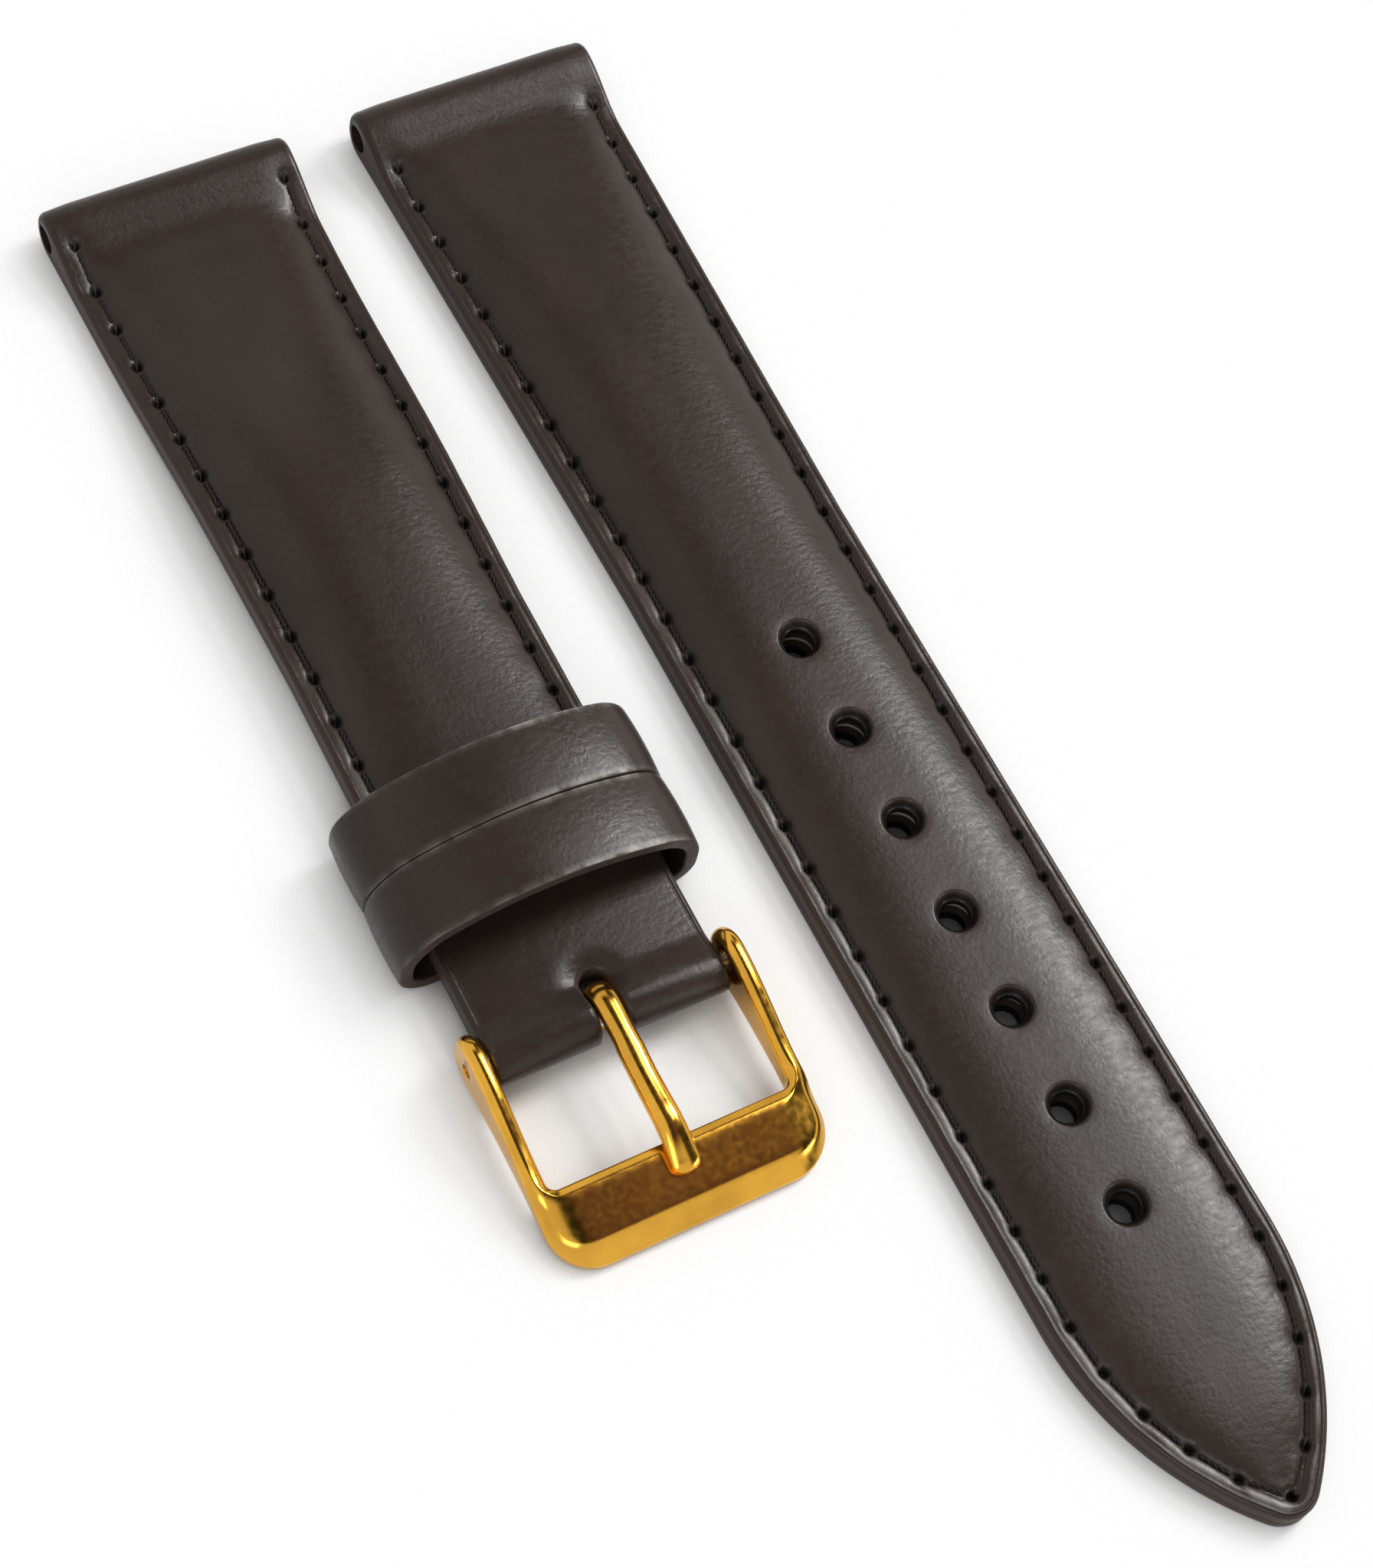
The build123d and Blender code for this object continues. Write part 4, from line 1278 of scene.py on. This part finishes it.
def tongue_line():
    """Middle line of the tongue in side view, as places from the bar's axis and heights."""
    curl = CURL_RADIUS * np.stack([np.cos(CURL_TURNS), np.sin(CURL_TURNS)], axis=1)
    curl = curl + (0, BAR_HEIGHT)
    top = np.array(TONGUE_TOP)
    top[:, 1] -= tongue_thickness(top[:, 0]) / 2
    points = np.concatenate([curl[-1:], top])
    run = run_along(points)
    at = np.linspace(0, run[-1], SHANK_STEPS)[1:]
    shank = [smooth_table(np.column_stack([run, column]), at) for column in points.T]
    line = np.concatenate([curl, np.stack(shank, axis=1)])
    start, stop = SMOOTH_SPAN
    before, after = line[start - 1 : stop - 1], line[start + 1 : stop + 1]
    for _ in range(SMOOTHINGS):
        line[start:stop] = (before + 2 * line[start:stop] + after) / 4
    return line


def buckle_tongue(material):
    """A rod curled round the bar, whose rounded end rests on the plate."""
    skin = Skin("buckle_tongue_skin", SHORT_X)
    line = tongue_line()
    run = run_along(line)
    go = unit(np.gradient(line, axis=0))
    up = np.stack([-go[:, 1], go[:, 0]], axis=1)
    curl_end = len(CURL_TURNS)
    grow = rise(run - run[curl_end - GROW_LEAD], 0, GROW_LENGTH)
    thick = CURL_THICKNESS + (tongue_thickness(line[:, 0]) - CURL_THICKNESS) * grow
    width = ROOT_WIDTH + (TONGUE_WIDTH - ROOT_WIDTH) * rise(line[:, 0], *WIDTH_SPAN)
    width = width * (1 - WAIST * bump(run - run[curl_end] - WAIST_PLACE, WAIST_REACH))
    end = rounding(run[-1] - run, TIP_ROUND) / TIP_ROUND
    end = end + rounding(run, CURL_ROUND) / CURL_ROUND * CURL_TAPER
    scale = (1 - np.clip(end, 0, 1 - LEAST_TIP))[:, None] / 2
    turn = np.linspace(0, 2 * math.pi, TONGUE_SIDES, endpoint=False)
    across, lift = (
        np.sign(part) * np.abs(part) ** (2 / SQUARENESS) for part in (np.cos(turn), np.sin(turn))
    )
    off = thick[:, None] * lift * scale
    skin.tube(
        width[:, None] * across * scale, BAR_PLACE + line[:, :1] + up[:, :1] * off,
        line[:, 1:] + up[:, 1:] * off,
    )
    skin.build([material], "buckle_tongue", ["buckle_tongue"])


# The spring inside the bar

SPRING_WIRE = 0.075
SPRING_RADIUS = 0.36
SPRING_PITCH = 0.42
SPRING_SIDES = 8
TURN_STEPS = 20
TIP_GAP = 0.1


def half_spring(side, name, material):
    """One half of the spring, coiled from near the bar's middle out towards one end."""
    low, high = (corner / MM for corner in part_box("spring_bar_spring"))
    reach = (high.x - low.x) / 2 - SPRING_WIRE
    start = SPRING_WIRE + TIP_GAP / 2
    turns = (reach - start) / SPRING_PITCH
    angle = np.linspace(0, 2 * math.pi * turns, round(TURN_STEPS * turns))[:, None]
    run = start + (reach - start) * angle / angle[-1]
    turn = np.linspace(0, 2 * math.pi, SPRING_SIDES, endpoint=False)[None, :]
    from_axis = SPRING_RADIUS + SPRING_WIRE * np.cos(turn)
    skin = Skin(f"bar_spring_{name}", SHORT_X)
    skin.tube(
        side * (run + SPRING_WIRE * np.sin(turn)), BAR_PLACE + from_axis * np.cos(angle),
        BAR_HEIGHT + from_axis * np.sin(angle),
    )
    piece = skin.build(
        [material], "short_part", ["spring_bar_spring"], merge=FINE_MERGE
    )
    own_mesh(piece)


def spring_bar(material):
    """The spring's halves, and steel on the bar's tube and tips."""
    for side, name in SIDES:
        half_spring(side, name, material)
    for name in ("spring_bar_tube", "spring_bar_tip_left", "spring_bar_tip_right"):
        for place in frame["nodes"][name].material_slots:
            place.material = material


# Materials

# Pale colour of painted highlights on the margins and keeper edges
SHEEN_COLOUR = (0.36, 0.345, 0.325)
# Near-black painted shade for needle holes and punched holes
HOLE_SHADE_COLOUR = (0.0035, 0.0028, 0.0026)
# Each grain's scale, detail and stretch, and the spans that they are read over
MOTTLE = (260, 4, (1, 0.5, 1))
STROKE = (2600, 3, (0.5, 1, 1))
STREAK = (900, 4, (1, 0.3, 1))
GRAIN = (3600, 3, (1, 0.8, 1))
EDGE_STREAK = (900, 3, (1, 0.12, 1))
FIBRE = (6000, 2, (1, 0.3, 1))
CLOUD = (300, 3, (1, 1, 1))
SCRATCH = (2500, 3)
MOTTLE_SPAN = (0.35, 0.65)
STREAK_SPAN = (0.36, 0.6, 0.15, 1)
CLOUD_SPAN = (0.35, 0.7)
ROUGH_SPAN = (0.3, 0.7)
EDGE_COLOURS = ((0.048, 0.034, 0.031), (0.066, 0.047, 0.043))
THREAD_COLOURS = ((0.006, 0.0045, 0.0045), (0.02, 0.015, 0.0135))
# Each leather's name, dark and light colour, roughness, depth of relief and gloss
LEATHERS = (
    ("calf_leather", (0.025, 0.0168, 0.0136), (0.031, 0.0208, 0.0168), 0.33, 0.00004, 0.27),
    ("cut_leather", (0.012, 0.009, 0.008), (0.02, 0.015, 0.013), 0.75, 0.00006, 0.2),
    ("lining", (0.045, 0.028, 0.02), (0.06, 0.038, 0.028), 0.62, 0.00004, 0.3),
    ("board", (0.045, 0.03, 0.02), (0.065, 0.045, 0.03), 0.9, 0.00008, 0.1),
    ("tape", (0.55, 0.52, 0.46), (0.65, 0.62, 0.55), 0.85, 0.00006, 0.2),
)
# Each metal's name, two colours, roughness and the stretch of its scratches
METALS = (
    ("gold_plate", (0.80, 0.43, 0.055), (0.62, 0.33, 0.045), 0.17, (1, 1, 0.2)),
    ("bar_steel", (0.62, 0.61, 0.60), (0.55, 0.54, 0.53), 0.3, (1, 0.1, 0.1)),
)


class Nodes:
    """Adds nodes to a tree; each call gives the socket that later nodes read."""

    def __init__(self, tree):
        self.tree = tree

    def fill(self, made, inputs):
        """Sets a node's inputs, each from a socket, a plain colour or a number."""
        for name, value in inputs.items():
            socket = made.inputs[name]
            if isinstance(value, bpy.types.NodeSocket):
                self.tree.links.new(value, socket)
            elif socket.type == "RGBA":
                socket.default_value = (*value, 1)
            else:
                socket.default_value = value

    def add(self, kind, inputs, output=0, **settings):
        made = self.tree.nodes.new(f"ShaderNode{kind}")
        for name, value in settings.items():
            setattr(made, name, value)
        self.fill(made, inputs)
        return made.outputs if output is None else made.outputs[output]

    def noise(self, scale, detail, stretch):
        place = self.add("TexCoord", {}, "Object")
        place = self.add("Mapping", {"Vector": place, "Scale": stretch})
        return self.add("TexNoise", {"Vector": place, "Scale": scale, "Detail": detail})

    def span(self, source, near, far, low=0, high=1):
        """Maps a value from one span to another."""
        limits = {"From Min": near, "From Max": far, "To Min": low, "To Max": high}
        return self.add("MapRange", {"Value": source, **limits})

    def mix(self, share, first, second):
        colours = {"Factor": share, "A": first, "B": second}
        return self.add("Mix", colours, "Result", data_type="RGBA")

    def math(self, kind, first, second):
        return self.add("Math", {0: first, 1: second}, operation=kind)

    def blend(self, share, first, second):
        return self.add("MixShader", {"Fac": share, 1: first, 2: second})

    def mark(self, name):
        return self.add("Attribute", {}, "Fac", attribute_name=name)

    def views(self):
        """Whether a ray comes from the camera, and whether from a shiny or clear surface."""
        rays = self.add("LightPath", {}, None)
        shiny = self.math("MAXIMUM", rays["Is Glossy Ray"], rays["Is Transmission Ray"])
        return rays["Is Camera Ray"], shiny

    def surface(self, height, strength, depth, **inputs):
        """Sets the material's shader, with a relief from a height."""
        relief = self.add("Bump", {"Height": height, "Strength": strength, "Distance": depth})
        inputs = {name.replace("_", " "): value for name, value in inputs.items()}
        self.fill(self.tree.nodes["Principled BSDF"], {**inputs, "Normal": relief})


def new_material(name):
    material = bpy.data.materials.new(name)
    material.use_nodes = True
    return material, Nodes(material.node_tree)


def leather_material(name, dark, light, rough, depth, gloss):
    """Smooth finished leather, with painted shade in its holes and painted highlights on marked
    places.
    """
    material, nodes = new_material(name)
    stroke = nodes.noise(*STROKE)
    streak = nodes.span(nodes.noise(*STREAK), *STREAK_SPAN)
    base = nodes.mix(nodes.span(nodes.noise(*MOTTLE), *MOTTLE_SPAN), dark, light)
    # Painted highlight: marked margin bands and keeper edge lines mix towards pale grey, broken by
    # streaks
    wear_and_sheen = nodes.mix(nodes.math("MULTIPLY", nodes.mark("rub"), streak), base, SHEEN_COLOUR)
    nodes.surface(
        nodes.math("ADD", stroke, nodes.noise(*GRAIN)), strength=0.45, depth=depth,
        # Painted shade: the hole mark darkens the colour nearly to black
        Base_Color=nodes.mix(nodes.mark("hole"), wear_and_sheen, HOLE_SHADE_COLOUR),
        Roughness=nodes.span(stroke, *ROUGH_SPAN, rough - 0.05, rough + 0.06),
        Specular_IOR_Level=gloss,
    )
    return material


def edge_material():
    """Paint on the cut edges: duller than the leather, with faint runs along it."""
    material, nodes = new_material("edge_paint")
    streak = nodes.noise(*EDGE_STREAK)
    nodes.surface(
        streak, strength=0.4, depth=0.00004, Base_Color=nodes.mix(streak, *EDGE_COLOURS),
        Roughness=nodes.span(streak, *ROUGH_SPAN, 0.42, 0.58), Specular_IOR_Level=0.12,
    )
    return material


def thread_material():
    material, nodes = new_material("waxed_thread")
    fibre = nodes.noise(*FIBRE)
    nodes.surface(
        fibre, strength=0.5, depth=0.00002, Base_Color=nodes.mix(fibre, *THREAD_COLOURS),
        Roughness=0.65, Specular_IOR_Level=0.2,
    )
    return material


def metal_material(name, colour, wear_and_sheen, rough, stretch):
    material, nodes = new_material(name)
    cloud = nodes.span(nodes.noise(*CLOUD), *CLOUD_SPAN)
    scratch = nodes.noise(*SCRATCH, stretch)
    nodes.surface(
        scratch, strength=0.06, depth=0.00001, Base_Color=nodes.mix(cloud, colour, wear_and_sheen),
        Roughness=nodes.span(scratch, *ROUGH_SPAN, rough * 0.8, rough * 1.3), Metallic=1.0,
    )
    return material


# Camera, lights and floor

CAMERA_PLACE = Vector((-61.03, -72.83, 178.51))
CAMERA_FORWARD = Vector((0.30838, 0.36409, -0.87883))
CAMERA_UP = Vector((0.35656, 0.81226, 0.46162))
FOCAL_PIXELS = 4153
LONG_SIDE_PIXELS = 2046
SENSOR = 36
NEAR_CLIP = 0.01
FLOOR_SIZE = 4
FLOOR_DROP = -0.00002
FLOOR_SHADE_REACH = 0.007
FLOOR_SHADE_POWER = 2.2
FLOOR_COLOUR = (0.8, 0.8, 0.8)
FLOOR_SHADE_COLOUR = (0.03, 0.027, 0.024)
FLOOR_SHADE_SPAN = (0.1, 0.45)
WHITE = (1, 1, 1)
WALL_COLOUR = (0.9, 0.88, 0.85)
CEILING_COLOUR = (0.125, 0.066, 0.14)
CURTAIN_COLOUR = (0.03, 0.028, 0.02)
CEILING_RIM = (0.72, 0.83)
CEILING_LEFT = (-0.24, -0.18)
CEILING_DARK = (0.11, 0.17)
CURTAIN_LEFT = (0.33, 0.39)
CURTAIN_FOOT = (0.3, 0.42)
AMBIENT_COLOUR = (1, 0.97, 0.94)
AMBIENT_LEVEL = 0.3
# Each lamp's name, place, aim, size and power, in metres and watts
LAMPS = (
    ("key_window", (0.42, 0.08, 0.4), (0, 0, 0), (0.19, 0.19), 2.9),
    ("roof_window", (0.225, 0.055, 0.5), (0, 0.02, 0), (0.25, 0.09), 0.55),
    ("front_fill", (-0.5, -0.5, 0.5), (0, 0, 0), (0.4, 0.4), 1.5),
    ("low_right", (0.4, -0.46, 0.15), (0, 0, 0), (0.3, 0.15), 0.8),
)


def camera():
    data = bpy.data.cameras.new("camera")
    data.sensor_width = SENSOR
    data.lens = SENSOR * FOCAL_PIXELS / LONG_SIDE_PIXELS
    data.clip_start = NEAR_CLIP
    made = bpy.data.objects.new("camera", data)
    bpy.context.scene.collection.objects.link(made)
    forward = CAMERA_FORWARD.normalized()
    right = forward.cross(CAMERA_UP).normalized()
    turn = Matrix((right, right.cross(forward), -forward)).transposed()
    made.matrix_world = Matrix.Translation(CAMERA_PLACE * MM) @ turn.to_4x4()
    bpy.context.scene.camera = made


def lamp(name, place, target, size, power):
    data = bpy.data.lights.new(name, "AREA")
    data.shape = "RECTANGLE"
    data.size, data.size_y = size
    data.energy = power
    made = bpy.data.objects.new(name, data)
    bpy.context.scene.collection.objects.link(made)
    made.location = place
    made.rotation_euler = (Vector(target) - Vector(place)).to_track_quat("-Z", "Y").to_euler()


def world():
    """White behind the object; pale walls, a dim ceiling and a dark curtain in shiny surfaces."""
    room = bpy.data.worlds.new("room")
    bpy.context.scene.world = room
    room.use_nodes = True
    room.node_tree.nodes.clear()
    nodes = Nodes(room.node_tree)
    split = nodes.add("SeparateXYZ", {"Vector": nodes.add("TexCoord", {}, "Generated")}, None)
    x, z = split["X"], split["Z"]
    ceiling = nodes.mix(nodes.span(x, *CEILING_DARK), CURTAIN_COLOUR, CEILING_COLOUR)
    covered = nodes.math("MULTIPLY", nodes.span(z, *CEILING_RIM), nodes.span(x, *CEILING_LEFT))
    drawn = nodes.math("MULTIPLY", nodes.span(x, *CURTAIN_LEFT), nodes.span(z, *CURTAIN_FOOT))
    dressed = nodes.mix(drawn, nodes.mix(covered, WALL_COLOUR, ceiling), CURTAIN_COLOUR)
    ambient = {"Color": AMBIENT_COLOUR, "Strength": AMBIENT_LEVEL}
    ambient, mirrored, white = (
        nodes.add("Background", look) for look in (ambient, {"Color": dressed}, {"Color": WHITE})
    )
    seen, shiny = nodes.views()
    look = nodes.blend(seen, nodes.blend(shiny, ambient, mirrored), white)
    nodes.add("OutputWorld", {"Surface": look}, None)


def floor():
    """Pale paper that stays white in the open, with painted shade in holes and under edges."""
    bpy.ops.mesh.primitive_plane_add(size=FLOOR_SIZE, location=(0, 0, FLOOR_DROP))
    made = bpy.context.object
    made.name = "floor"
    material, nodes = new_material("floor_paper")
    nodes.tree.nodes.clear()
    near = nodes.add("AmbientOcclusion", {"Distance": FLOOR_SHADE_REACH}, "AO", samples=8)
    # Painted shade: where occlusion is high the paper's colour darkens and its white glow fades
    colour = nodes.mix(nodes.span(near, *FLOOR_SHADE_SPAN), FLOOR_SHADE_COLOUR, FLOOR_COLOUR)
    seen = nodes.math("MAXIMUM", *nodes.views())
    white = nodes.math("MULTIPLY", seen, nodes.math("POWER", near, FLOOR_SHADE_POWER))
    paper, glow = nodes.add("BsdfDiffuse", {"Color": colour}), nodes.add("Emission", {})
    nodes.add("OutputMaterial", {"Surface": nodes.blend(white, paper, glow)}, None)
    made.data.materials.append(material)


def main():
    bpy.context.scene.view_settings.view_transform = "Standard"
    camera()
    world()
    floor()
    for row in LAMPS:
        lamp(*row)
    leather, cut, lining, board, tape = (leather_material(*row) for row in LEATHERS)
    paint, thread = edge_material(), thread_material()
    gold, steel = (metal_material(*row) for row in METALS)
    long_upper([leather, paint, cut])
    short_upper([leather, paint, cut])
    linings([lining, paint, cut])
    fillings(board, tape)
    threads(thread)
    keepers([leather, paint], thread)
    buckle_frame(gold)
    buckle_tongue(gold)
    spring_bar(steel)


main()
